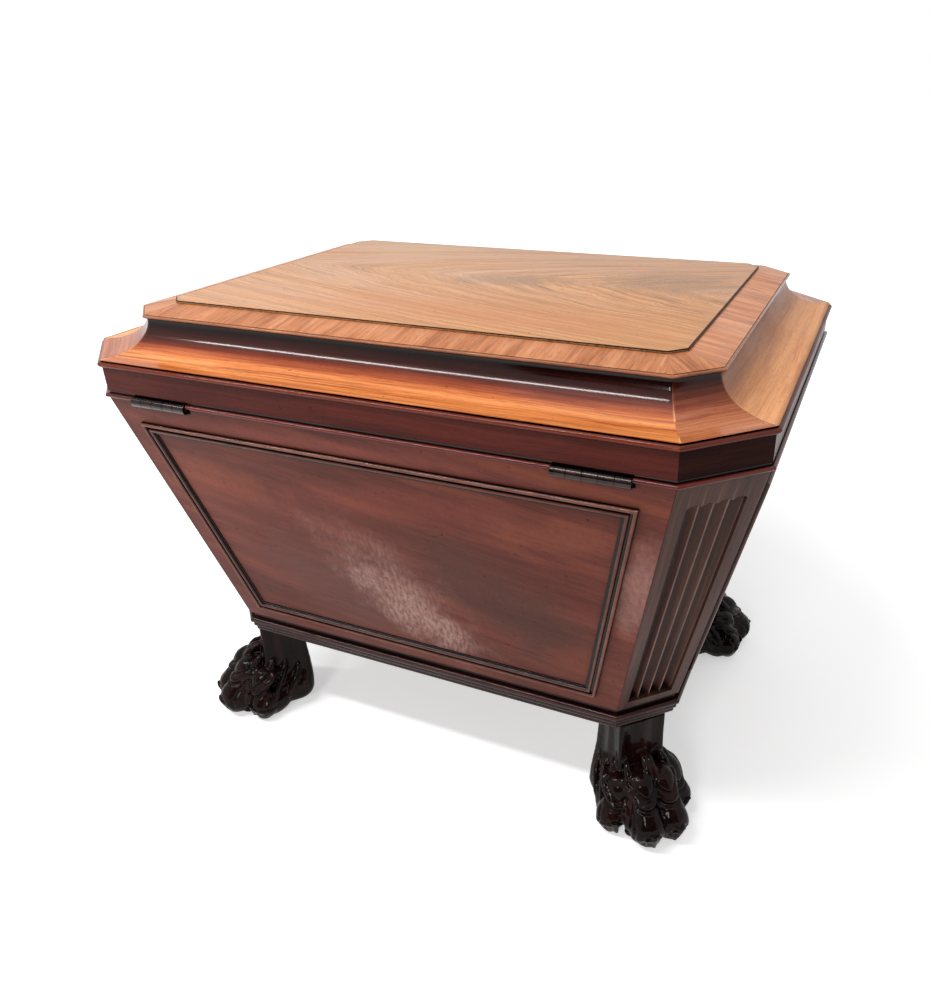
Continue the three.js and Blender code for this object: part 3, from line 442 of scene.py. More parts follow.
metals = {
    # cast and filed, then darkened by age: deep brown with blacker stains
    "agedBrass": {"base": "#2A1C17", "spots": "#120A09", "roughness": 0.26, "bump": 0.12, "coat": 0.5},
    # drawn rod, lightly rusted
    "drawnSteel": {"base": "#86827A", "spots": "#5A5047", "roughness": 0.35, "bump": 0.15, "coat": 0.0},
    # rolled sheet, oxidised to a dull spangled grey
    "rolledZinc": {"base": "#8F9394", "spots": "#6E7274", "roughness": 0.5, "bump": 0.2, "coat": 0.0},
}
# the fine patterns of the metals and of the ebony line, in millimetres
fineSizes = {"stains": 8.333, "grit": 1.111, "relief": 0.4, "nook": 3, "ebony": 3.846, "ebonyRelief": 0.3}


def metalMaterial(name):
    look = metals[name]
    material, tree = newMaterial(name)
    place = addNode(tree, "TexCoord", {})["Object"]
    stains = addNode(tree, "TexNoise", {
        "Vector": place, "Scale": 1000 / fineSizes["stains"], "Detail": 5.0})["Fac"]
    colour = addNode(tree, "ValToRGB", {
        "Fac": stains, "stops": [(0.38, look["spots"]), (0.62, look["base"])]})["Color"]
    colour = dirtiedAndShaded(tree, colour, fineSizes["nook"], [(0.35, 0.15), (0.85, 1.0)])
    dull = addNode(tree, "MapRange", {
        "To Min": look["roughness"] - 0.1, "To Max": look["roughness"] + 0.15, "Value": stains})["Result"]
    grit = addNode(tree, "TexNoise", {"Vector": place, "Scale": 1000 / fineSizes["grit"]})["Fac"]
    bump = addNode(tree, "Bump", {
        "Strength": look["bump"], "Distance": fineSizes["relief"] / 1000, "Height": grit})["Normal"]
    shader = addNode(tree, "BsdfPrincipled", {
        "Base Color": colour, "Roughness": dull, "Normal": bump, "Metallic": 1.0,
        "Coat Weight": look["coat"], "Coat Roughness": grain["polish"],
    })["BSDF"]
    addNode(tree, "OutputMaterial", {"Surface": shader})
    return material


def ebonyMaterial(name):
    # a black line round the raised field, dense, so hardly any grain shows
    material, tree = newMaterial(name)
    place = addNode(tree, "TexCoord", {})["Object"]
    specks = addNode(tree, "TexNoise", {
        "Vector": place, "Scale": 1000 / fineSizes["ebony"], "Detail": 3.0})["Fac"]
    colour = addNode(tree, "ValToRGB", {
        "Fac": specks, "stops": [(0.45, "#0C0706"), (0.75, "#3A231A")]})["Color"]
    bump = addNode(tree, "Bump", {
        "Strength": 0.2, "Distance": fineSizes["ebonyRelief"] / 1000, "Height": specks})["Normal"]
    shader = addNode(tree, "BsdfPrincipled", {
        "Base Color": colour, "Normal": bump, "Roughness": 0.5, "Specular IOR Level": 0.15})["BSDF"]
    addNode(tree, "OutputMaterial", {"Surface": shader})
    return material


uvWoods = {key: woodMaterial(key, finishes[key], useUv=True, seed=k * 3.7)
           for k, key in enumerate(("cavettoMahogany", "litEndMahogany", "beadMahogany", "baseMahogany",
                                    "cornerMahogany", "mouldingMahogany", "crossbandVeneer"))}
# the cants of the cavetto: a copy painted for the light on them, darker and duller below and less dark at the
# top, painted shade
cantShadeStain = finishes["cavettoMahogany"]["stainAndPaintedLight"][:8] + [
    (57, "#E0CCD2"), (67, "#AC8C90"), (74, "#8C7078"), (81, "#5C4648"), (88, "#1C1420"), (91, "#1C1420"),
    (97, "#8A6050")]
cantShadeCavetto = dict(
    finishes["cavettoMahogany"], dark="#8E4624", middle="#B87048", light="#D08A60", stainAndPaintedLight=cantShadeStain)
uvWoods["cavettoCantShade"] = woodMaterial("cavettoCantShade", cantShadeCavetto, useUv=True, seed=31.0)
# the cants of the frieze: a darker copy, painted shade
shadedCantFrieze = dict(finishes["friezeMahogany"], dark="#1A0A09", middle="#26100D", light="#341813", gloss=0.04)
# the crossbanding at the two ends is painted lighter like the mouldings below it: painted light
litEndBand = dict(finishes["crossbandVeneer"], dark="#A8603A", middle="#D48A5C", light="#E8A67C")
uvWoods["litCrossbandEnd"] = woodMaterial("litCrossbandEnd", litEndBand, useUv=True, seed=37.0)
carved = woodMaterial("carvedMahogany", finishes["carvedMahogany"], along=(0, 0, 1), across=(1, 0, 0))
planed = woodMaterial("planedMahogany", finishes["planedMahogany"])
# the lip: darker than the band that it holds, as painted shade under its nose and in the crevice, with a
# thicker shine
shadedLip = dict(
    finishes["crossbandVeneer"], dirtAndShade=7, coat=0.5, dark="#7A4022", middle="#A0603A", light="#BC7A50")
lipWood = woodMaterial("lipMahogany", shadedLip, seed=5.0)
field = woodMaterial(
    "flameVeneer", finishes["flameVeneer"], patches=fieldPatches, axes=((1, 0, 0), (0, 1, 0)))
brass, steel, zinc = [metalMaterial(name) for name in metals]
ebony = ebonyMaterial("ebonyLine")
print("finishes mixed")


def corners(outline, by=0.0):
    halfLength, halfDepth, cut = outline
    x, y, c = halfLength - by, halfDepth - by, cut - mitreShare * by
    return [(c - x, -y), (x - c, -y), (x, c - y), (x, y - c),
            (x - c, y), (c - x, y), (-x, y - c), (-x, c - y)]


def caseOutline(z):
    share = (z - caseFoot) / (closingLine - caseFoot)
    return tuple(a + (b - a) * share for a, b in zip(outlines["foot"], outlines["rim"]))


def halfRound(foot, out, low, high, steps=14):
    middle = (low + high) / 2
    return [(foot + (out - foot) * sin(pi * i / steps), middle + (low - middle) * cos(pi * i / steps))
            for i in range(steps + 1)]


def eased(profile, radius, steps=3):
    # rounds the corners of a closed profile, as scraping and wear do
    made = []
    count = len(profile)
    for i, (px, pz) in enumerate(profile):
        here = Vector((px, pz))
        back = Vector(profile[i - 1]) - here
        on = Vector(profile[(i + 1) % count]) - here
        if back.length < 1e-6 or on.length < 1e-6:
            continue
        if pi - back.angle(on) < radians(24):
            made.append((px, pz))
            continue
        reach = min(radius, back.length * 0.4, on.length * 0.4)
        a, b = here + back.normalized() * reach, here + on.normalized() * reach
        for k in range(steps + 1):
            t = k / steps
            made.append(tuple(a * (1 - t) ** 2 + here * 2 * t * (1 - t) + b * t * t))
    return made


def girthOf(profile):
    # the way round a closed profile to each of its points
    girth = [0.0]
    for a, b in zip(profile, profile[1:] + profile[:1]):
        girth.append(girth[-1] + hypot(b[0] - a[0], b[1] - a[1]))
    return girth


def quads(a, b, count):
    # the faces between two closed rings of points, which start at a and at b
    return [(a + i, a + (i + 1) % count, b + (i + 1) % count, b + i) for i in range(count)]


def piece(name, points, faces, uvs, material, sharp=35):
    # points in millimetres; uvs holds one pair for each face corner, in metres
    mesh = bpy.data.meshes.new(name)
    mesh.from_pydata([Vector(p) * 0.001 for p in points], [], faces)
    if uvs:
        layer = mesh.uv_layers.new(name="grain")
        for loop, uv in zip(layer.data, [pair for face in uvs for pair in face]):
            loop.uv = uv
    work = bmesh.new()
    work.from_mesh(mesh)
    bmesh.ops.remove_doubles(work, verts=work.verts, dist=2e-6)
    bmesh.ops.recalc_face_normals(work, faces=work.faces)
    # how far each point stands out from its neighbours, for the rubbed arrises
    work.normal_update()
    arris = work.verts.layers.float.new("arris")
    for v in work.verts:
        near = sorted(v.link_edges, key=lambda e: e.calc_length())[:2]
        if all(e.calc_length() < 0.002 for e in near):
            v[arris] = max([0.0] + [v.normal.dot((v.co - e.other_vert(v).co).normalized()) for e in near])
    work.to_mesh(mesh)
    work.free()
    mesh.shade_smooth()
    mesh.set_sharp_from_angle(angle=radians(sharp))
    mesh.materials.append(material)
    made = bpy.data.objects.new(name, mesh)
    scene.collection.objects.link(made)
    return made


def fit(made, body, slot, *replaced):
    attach(made, body)
    if replaced:
        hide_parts(*replaced)
    return made


def moulding(at, profile, side, offset=0, cuts=(None, None), gap=glueLine, soft=0.0):
    # one side of a moulding: at(inset, height) gives the eight corners. A cut is an X place where
    # the run stops square, otherwise the end is mitred, and softened there by a radius.
    ends = [at(0, profile[0][1])[k % 8] for k in (side, side + 1)]
    run = Vector((ends[1][0] - ends[0][0], ends[1][1] - ends[0][1])).normalized()
    inward = Vector((-run.y, run.x))
    middle = (Vector(ends[0]) + Vector(ends[1])) / 2
    half = pi / 8                              # an octagon's mitre
    turns = [half * t for t in (1, 0.66, 0.33, 0)] if soft else [0.0]
    rings = []
    for end in (0, 1):
        way = -1 if end else 1
        for turn in (reversed(turns) if end else turns):
            ring = []
            for by, z in profile:
                x, y = at(by, z)[(side + end) % 8]
                if cuts[end] is None:
                    back = soft * (tan(half) - sin(turn)) if soft else 0.0
                    move = run * (way * (gap / 2 + back)) + inward * (soft * (1 - cos(turn)))
                    x, y = x + move.x, y + move.y
                else:
                    x = cuts[end]
                ring.append((x, y, z))
            rings.append(ring)
    count = len(profile)
    points = [p for ring in rings for p in ring]
    girth = girthOf(profile)

    def uv(index, place):
        x, y, _ = points[index]
        return ((Vector((x, y)) - middle).dot(run) / 1000 + side * 1.3, place / 1000)
    faces, uvs = [], []
    for start in range(0, len(points) - count, count):
        for i, face in enumerate(quads(start, start + count, count)):
            faces.append(tuple(offset + v for v in face))
            uvs.append([uv(v, girth[g]) for v, g in zip(face, (i, i + 1, i + 1, i))])
    for start in (0, len(points) - count):
        faces.append(tuple(offset + start + i for i in range(count)))
        uvs.append([uv(start + i, girth[i]) for i in range(count)])
    return points, faces, uvs


def mouldingRing(at, profile, runs=tuple((side, {}) for side in range(8)), **options):
    # a run is a side with options of its own
    points, faces, uvs = [], [], []
    for side, own in runs:
        more = moulding(at, profile, side, len(points), **options, **own)
        points += more[0]
        faces += more[1]
        uvs += more[2]
    return points, faces, uvs


lid = {
    # the seat is a sunk fillet over the bead
    "foot": 475.3, "beadHeight": 4.7, "beadSeat": 6.7, "beadOut": 4.0, "beadNose": 0.4, "beadTongue": 5.0,
    "filletDepth": 1.6, "beadSoft": 0.8,
    "torusFoot": 508.1, "torusHeight": 6.6, "quirkHeight": 1.6, "quirkDepth": 2.5, "friezeInner": 22.0,
    "coveStart": 2.5, "coveSpread": 53.5, "coveRise": 32.5, "coveSteps": 40, "coveLift": 0.3, "coveToe": 0.1,
    "coveSeat": 1.5, "seatWidth": 18.0, "backRise": 14.0,
    "lipInset": 52.0, "lipFoot": 549.0, "lipHeight": 3.4, "lipRound": 2.4, "boardThickness": 14.0,
    "bandOuter": 54.4, "bandWidth": 34.0, "bandSink": 1.3, "bandRise": 5.8, "veneer": 1.4, "bandRoom": 0.6,
    "bandSkew": 0.14,                # how far its grain runs out of square
    "fieldRise": 2.4, "lineWidth": 0.9, "lineDepth": 1.0,
    # rounding of the arrises and of the cavetto's mitres
    "wear": 0.5, "mitreSoft": 7.0, "beadEase": 0.3, "lipEase": 0.3, "bandEase": 0.35, "lineEase": 0.25,
    "fieldArris": [(0, 0.3), (0.1, 0.1), (0.35, 0)],   # in from the field's edge, and down
}


def lidAt(by, z):
    return corners(outlines["lid"], by)


def buildCavetto():
    base = lid["torusFoot"] + lid["torusHeight"]
    top = base + lid["coveRise"]
    torusTop = base - lid["quirkHeight"] / 2
    coveFoot = base + lid["quirkHeight"] / 2
    turns = [pi / 2 * i / lid["coveSteps"] for i in range(lid["coveSteps"] + 1)]
    cove = [(lid["coveStart"] + lid["coveSpread"] * sin(t), top - lid["coveRise"] * cos(t)) for t in turns]
    cove = [p for p in cove if p[1] > coveFoot + lid["coveLift"]]
    inner = lid["coveStart"] + lid["coveSpread"]
    deep = lid["beadOut"] + lid["quirkDepth"]
    profile = halfRound(lid["beadOut"], 0, lid["torusFoot"], torusTop, 18) + [
        (deep, torusTop), (deep, coveFoot), (lid["coveStart"] + lid["coveToe"], coveFoot)] + cove + [
        (inner, top + lid["coveSeat"]), (inner + lid["seatWidth"], top + lid["coveSeat"]),
        (inner + lid["seatWidth"], top - lid["backRise"]), (lid["friezeInner"], lid["torusFoot"]),
    ]
    profile = eased(profile, lid["wear"])
    for side, name in enumerate(sideNames):
        wood = "litEndMahogany" if name in endNames else "cavettoCantShade" if side % 2 else "cavettoMahogany"
        made = piece("cavetto_" + name, *moulding(lidAt, profile, side, gap=hairLine, soft=lid["mitreSoft"]),
                     uvWoods[wood], 40)
        fit(made, "lid", "polished_mahogany", "lid_cavetto_" + name)


def buildLidBead(hinges):
    low, high = lid["foot"], lid["foot"] + lid["beadHeight"]
    tongue = lid["beadOut"] + lid["beadTongue"]
    seat, sunk = lid["foot"] + lid["beadSeat"], lid["beadOut"] + lid["filletDepth"]
    nose, back = lid["beadNose"], lid["beadOut"] - lid["beadNose"]
    profile = eased([(tongue, seat), (sunk, seat), (sunk, high), (back, high)]
                    + halfRound(back, nose, high, low, 18)[1:] + [(tongue, low)], lid["beadEase"])
    # on the hinged side it stops square at each hinge
    half = hinges["length"] / 2 + hinges["endRoom"]
    stops = [None]
    for x in (hinges["spacing"] / 2, -hinges["spacing"] / 2):
        stops += [x + half, x - half]
    stops.append(None)
    runs = [(side, {"soft": lid["beadSoft"]}) for side, name in enumerate(sideNames) if name != "rear"]
    runs += [(sideNames.index("rear"), {"cuts": cuts}) for cuts in zip(stops[::2], stops[1::2])]
    made = piece("lidBead", *mouldingRing(lidAt, profile, runs, gap=hairLine), uvWoods["beadMahogany"])
    fit(made, "lid", "polished_mahogany", "lid_bead")


def slab(rings, material, name, sharp=35):
    # an octagonal board from rings of inset and height
    points = [(x, y, z) for by, z in rings for x, y in lidAt(by, z)]
    faces = [face for k in range(len(rings) - 1) for face in quads(k * 8, k * 8 + 8, 8)]
    faces += [tuple(range(8)), tuple(range(len(points) - 8, len(points)))]
    return piece(name, points, faces, None, material, sharp)


def buildTop():
    foot, top = lid["lipFoot"], lid["lipFoot"] + lid["lipHeight"]
    inner = lid["coveStart"] + lid["coveSpread"] + lid["seatWidth"] + glueLine
    bandInner = lid["bandOuter"] + lid["bandWidth"]
    bed, crown = top - lid["bandSink"], top - lid["bandSink"] + lid["bandRise"]
    nose = halfRound(lid["lipInset"] + lid["lipRound"], lid["lipInset"], foot, top, 16)[1:-1]
    rings = [(inner, top - lid["boardThickness"]), (inner, foot),
             (lid["lipInset"] + lid["lipRound"] / 2, foot)]
    wall = lid["bandOuter"] - lid["bandRoom"]
    ease = lid["lipEase"]
    rings += nose + [(wall - ease, top), (wall, top - ease), (wall, bed), (bandInner, crown)]
    fit(slab(rings, lipWood, "topBoard"), "lid", "plain_mahogany", "lid_top_board")

    under, over = glueLine, glueLine + lid["veneer"]
    band = eased([(bandInner, crown + under), (bandInner, crown + over),
                  (lid["bandOuter"], bed + over), (lid["bandOuter"], bed + under)], lid["bandEase"])
    for side, name in enumerate(sideNames):
        points, faces, uvs = moulding(lidAt, band, side, gap=hairLine)
        # the grain runs across the band, a little out of square
        uvs = [[(v + lid["bandSkew"] * u, u) for u, v in face] for face in uvs]
        made = piece("crossband_" + name, points, faces, uvs,
                     uvWoods["litCrossbandEnd" if name in endNames else "crossbandVeneer"])
        fit(made, "lid", "crossband_mahogany", "lid_crossband_" + name)

    low, high = crown + glueLine, crown + glueLine + lid["veneer"] + lid["fieldRise"]
    line = bandInner + hairLine
    sunk = high - lid["lineDepth"]
    edge = line + lid["lineWidth"]
    profile = eased([(line, sunk), (edge, sunk), (edge, high), (line, high)], lid["lineEase"])
    made = piece("fieldLine", *mouldingRing(lidAt, profile, gap=0.0), ebony)
    fit(made, "lid", "ebony_line", "lid_stringing")
    rings = [(line, low), (line, sunk), (edge, sunk)]
    rings += [(edge + inwards, high - down) for inwards, down in lid["fieldArris"]]
    fit(slab(rings, field, "raisedField", 60), "lid", "flame_mahogany", "lid_raised_field")


flutes = {
    "count": 4, "marginTop": 26.0, "marginFoot": 10.0, "sideTop": 15.0, "sideFoot": 11.5,
    "recess": 3.6, "depth": 6.4, "arris": 1.6, "arch": 2.5, "runOut": 12.0, "columns": 14, "rows": 26,
    "wall": 18.0, "rimDrop": 0.3, "ease": 0.3,
}


def faceFrame(side):
    # the flat frame of one outer face: X along the rim, Y up the slope, Z outwards
    rim, foot = corners(outlines["rim"]), corners(outlines["foot"])
    ends = [rim[side], rim[(side + 1) % 8], foot[side], foot[(side + 1) % 8]]
    a, b, c, d = [Vector((x, y, closingLine if k < 2 else caseFoot)) for k, (x, y) in enumerate(ends)]
    along = (b - a).normalized()
    up = (a + b) / 2 - (c + d) / 2
    slope = up.length
    up.normalize()
    matrix = Matrix((along, up, along.cross(up))).transposed().to_4x4()
    matrix.translation = (a + b) / 2
    return matrix, slope, (b - a).length, (d - c).length


def buildFlutedCorner(side):
    name = sideNames[side]
    matrix, slope, rimWidth, footWidth = faceFrame(side)
    f = flutes
    top, foot = -f["marginTop"], f["marginFoot"] - slope

    def halfFace(y):
        return (rimWidth + (footWidth - rimWidth) * -y / slope) / 2

    def halfPanel(y):
        return halfFace(y) - (f["sideTop"] + (f["sideFoot"] - f["sideTop"]) * -y / slope)
    # columns across the face: kind, place, depth of the hollow, within the sunk panel or not
    columns = [("edge", -1, 0, False), ("panel", -1, 0, False), ("panel", -1, 0, True)]
    for k in range(f["count"]):
        for i in range(f["columns"] + 1):
            t = i / f["columns"]
            columns.append(("flute", (k, t), sin(pi * (0.5 - 0.5 * cos(pi * t))), True))
    columns += [("panel", 1, 0, True), ("panel", 1, 0, False), ("edge", 1, 0, False)]
    levels = [("face", -f["rimDrop"]), ("rimEdge", top), ("sunk", 1.0)]
    levels += [("sunk", 1 - (i / f["rows"]) ** 1.6) for i in range(1, f["rows"] + 1)]
    levels += [("footEdge", foot), ("face", -slope)]

    def point(column, level):
        kind, place, hollow, inside = column
        mode, value = level
        across = 0.5 - 0.5 * cos(pi * place[1]) if kind == "flute" else 0.0
        panelTop = top + f["arch"] * 4 * across * (1 - across)
        y = {"face": value, "rimEdge": panelTop, "footEdge": foot,
             "sunk": foot + (panelTop - foot) * value}[mode]
        if kind == "edge":
            x = place * (halfFace(y) - glueLine / 2)
        elif kind == "panel":
            x = place * halfPanel(y)
        else:
            pitch = 2 * halfPanel(y) / f["count"]
            x = -halfPanel(y) + pitch * place[0] + f["arris"] / 2 + (pitch - f["arris"]) * across
        z = 0.0
        if inside and mode == "sunk":
            fade = min(1.0, max(0.0, (panelTop - y) / f["runOut"]))
            z = -f["recess"] - f["depth"] * hollow * (0.15 + 0.85 * sin(pi / 2 * fade))
        return (x, y, z)
    grid = [[point(c, l) for c in columns] for l in levels]
    width = len(columns)
    points = [matrix @ Vector(p) for row in grid for p in row]
    faces, uvs = [], []

    def uv(r, c):
        x, y, z = grid[r][c]
        return (-y / 1000 + side * 0.9, (x + z) / 1000)
    for r in range(len(levels) - 1):
        for c in range(width - 1):
            quad = ((r, c), (r + 1, c), (r + 1, c + 1), (r, c + 1))
            faces.append(tuple(i * width + j for i, j in quad))
            uvs.append([uv(i, j) for i, j in quad])
    # the inner side, closed to the outer one by four edges
    inner = []
    rim = closingLine - f["rimDrop"]
    for z, end in ((rim, 0), (rim, 1), (caseFoot, 1), (caseFoot, 0)):
        at = corners(caseOutline(z), f["wall"])
        a, b = Vector(at[side]), Vector(at[(side + 1) % 8])
        along = (b - a).normalized() * (glueLine / 2)
        x, y = (b - along) if end else (a + along)
        inner.append(len(points))
        points.append(Vector((x, y, z)))
    last = len(levels) - 1
    borders = [list(range(width)), [r * width + width - 1 for r in range(last + 1)],
               [last * width + c for c in reversed(range(width))],
               [r * width for r in reversed(range(last + 1))]]
    edges = [tuple(border) + (inner[j], inner[i])
             for border, (i, j) in zip(borders, ((0, 1), (1, 2), (2, 3), (3, 0)))]
    for face in edges + [tuple(inner)]:
        faces.append(face)
        uvs.append([(points[v].z / 1000, (points[v].x + points[v].y) / 1000) for v in face])
    made = piece("flutedCorner_" + name, points, faces, uvs, uvWoods["cornerMahogany"], 30)
    ease = made.modifiers.new("wornArris", "BEVEL")
    ease.width, ease.segments = f["ease"] / 1000, 2
    ease.limit_method, ease.angle_limit = "ANGLE", radians(50)
    fit(made, "carcase", "dark_mahogany", "fluted_corner_" + name)


panels = {
    "marginTop": 27.0, "marginFoot": 16.0, "marginSide": 25.5, "width": 13.0, "height": 4.2,
    # the section across the moulding: an outer bead, a quirk and a lower inner bead
    "beads": [(0.0, 0.33, 1.0), (0.48, 0.81, 0.88)], "quirk": 0.25, "lift": 0.1, "ease": 0.2,
}


def buildPanelMoulding(side):
    name = sideNames[side]
    matrix, slope, rimWidth, footWidth = faceFrame(side)
    p = panels
    rake = (rimWidth - footWidth) / 2 / slope
    stretch = hypot(1, rake)

    def halfAt(y, by):
        return rimWidth / 2 + rake * y - (p["marginSide"] + by) * stretch

    def ringAt(by, z):
        high, low = -p["marginTop"] - by, p["marginFoot"] + by - slope
        return [(-halfAt(low, by), low, z), (halfAt(low, by), low, z), (halfAt(high, by), high, z),
                (-halfAt(high, by), high, z)]
    quirk = p["quirk"] * p["height"]
    profile = [(0, p["lift"])]
    for start, stop, high in p["beads"]:
        profile += [(across, rise) for rise, across in
                    halfRound(quirk, high * p["height"], start * p["width"], stop * p["width"], 12)]
    profile = eased(profile + [(p["width"], quirk), (p["width"], p["lift"])], p["ease"])
    rings = [[ringAt(by, z)[k] for by, z in profile] for k in range(4)]
    count = len(profile)
    points = [matrix @ Vector(q) for ring in rings for q in ring]
    girth = girthOf(profile)
    faces, uvs = [], []
    for k in range(4):
        n = (k + 1) % 4
        start = Vector(rings[k][0])
        run = (Vector(rings[n][0]) - start).normalized()
        for i, face in enumerate(quads(k * count, n * count, count)):
            faces.append(face)
            places = [(Vector(rings[v // count][v % count]) - start).dot(run) / 1000 + k * 0.8 for v in face]
            uvs.append([(place, girth[g] / 1000) for place, g in zip(places, (i, i + 1, i + 1, i))])
    made = piece("panelMoulding_" + name, points, faces, uvs, uvWoods["mouldingMahogany"])
    fit(made, "carcase", "dark_mahogany", "panel_moulding_" + name)


base = {
    "height": 32.0, "fascia": 9.3, "setback": 5.0, "beadHeight": 7.2, "quirk": 3.0,
    "topOut": 1.5, "step": 3.2, "width": 75.0, "ease": 0.3,
}


def buildBaseMoulding():
    b = base
    beads = []
    for k in range(3):
        high = caseFoot - b["fascia"] - k * b["beadHeight"]
        out = k * b["step"] - b["topOut"]
        beads += halfRound(out + b["quirk"], out, high, high - b["beadHeight"], 14)
    foot = caseFoot - b["height"]
    profile = [(b["width"], foot), (b["width"], caseFoot - glueLine), (b["setback"], caseFoot - glueLine),
               (b["setback"], caseFoot - b["fascia"])] + beads + [(beads[-1][0], foot)]
    profile = eased(profile, b["ease"])
    made = piece("baseMoulding", *mouldingRing(lambda by, z: corners(outlines["foot"], by), profile, gap=0.0),
                 uvWoods["baseMahogany"])
    fit(made, "carcase", "dark_mahogany", "base_frame")


hinges = {
    "length": 71.0, "leafLength": 72.0, "spacing": 470.0, "endRoom": 0.5, "knuckles": 5, "radius": 5.2,
    "gap": 0.1, "chamfer": 0.3, "axis": (281.5, 475.0), "leafWidth": 15.0, "leafThickness": 2.0,
    "leafBack": 0.8, "closingGap": 0.6,
    "tabShare": 0.9, "tabInner": 1.0,                    # from the knuckle to the leaf
    "pinHead": [(0, 1.6), (0.2, 1.5), (0.3, 1.0)],       # out from the barrel's end, and radius
}


def turnedBar(points, faces, at, stations, sides=32):
    # stations hold the place along X and the radius
    first = len(points)
    for x, radius in stations:
        for i in range(sides):
            turn = 2 * pi * i / sides
            points.append((at[0] + x, at[1] + radius * cos(turn), at[2] + radius * sin(turn)))
    last = first + (len(stations) - 1) * sides
    for start in range(first, last, sides):
        faces += quads(start, start + sides, sides)
    faces += [tuple(range(start, start + sides)) for start in (first, last)]


def plate(points, faces, low, high):
    first = len(points)
    for z in (low[2], high[2]):
        for x, y in ((low[0], low[1]), (high[0], low[1]), (high[0], high[1]), (low[0], high[1])):
            points.append((x, y, z))
    for face in ((0, 1, 2, 3), (4, 5, 6, 7), (0, 1, 5, 4), (1, 2, 6, 5), (2, 3, 7, 6), (3, 0, 4, 7)):
        faces.append(tuple(first + i for i in face))


def buildHinges():
    h = hinges
    y, z = h["axis"]
    step = h["length"] / h["knuckles"]
    for end, x in (("left", -h["spacing"] / 2), ("right", h["spacing"] / 2)):
        for own, way, body, kind in ((1, 1, "lid", "upper"), (0, -1, "carcase", "lower")):
            points, faces = [], []
            near, far = way * h["closingGap"] / 2, way * (h["closingGap"] / 2 + h["leafThickness"])
            for k in range(h["knuckles"]):
                start = -h["length"] / 2 + k * step + (h["gap"] / 2 if k else 0)
                stop = -h["length"] / 2 + (k + 1) * step - (h["gap"] / 2 if k < h["knuckles"] - 1 else 0)
                if k % 2 == own:
                    r, e = h["radius"], h["chamfer"]
                    turnedBar(points, faces, (x, y, z),
                              [(start, r - e), (start + e, r), (stop - e, r), (stop, r - e)])
                    plate(points, faces, (x + start, y - r * h["tabShare"], z + min(near, far)),
                          (x + stop, y - h["tabInner"], z + max(near, far)))
            plate(points, faces, (x - h["leafLength"] / 2, y - h["leafWidth"], z + min(near, far)),
                  (x + h["leafLength"] / 2, y - h["radius"] - h["leafBack"], z + max(near, far)))
            made = piece("hinge_" + kind + "_" + end, points, faces, None, brass)
            fit(made, body, "aged_brass", "hinge_" + kind + "_leaf_" + end)
        points, faces = [], []
        headed = [(h["length"] / 2 + out, radius) for out, radius in h["pinHead"]]
        turnedBar(points, faces, (x, y, z), [(-at, radius) for at, radius in reversed(headed)] + headed)
        made = piece("hingePin_" + end, points, faces, None, brass)
        fit(made, "carcase", "pale_steel", "hinge_pin_" + end)


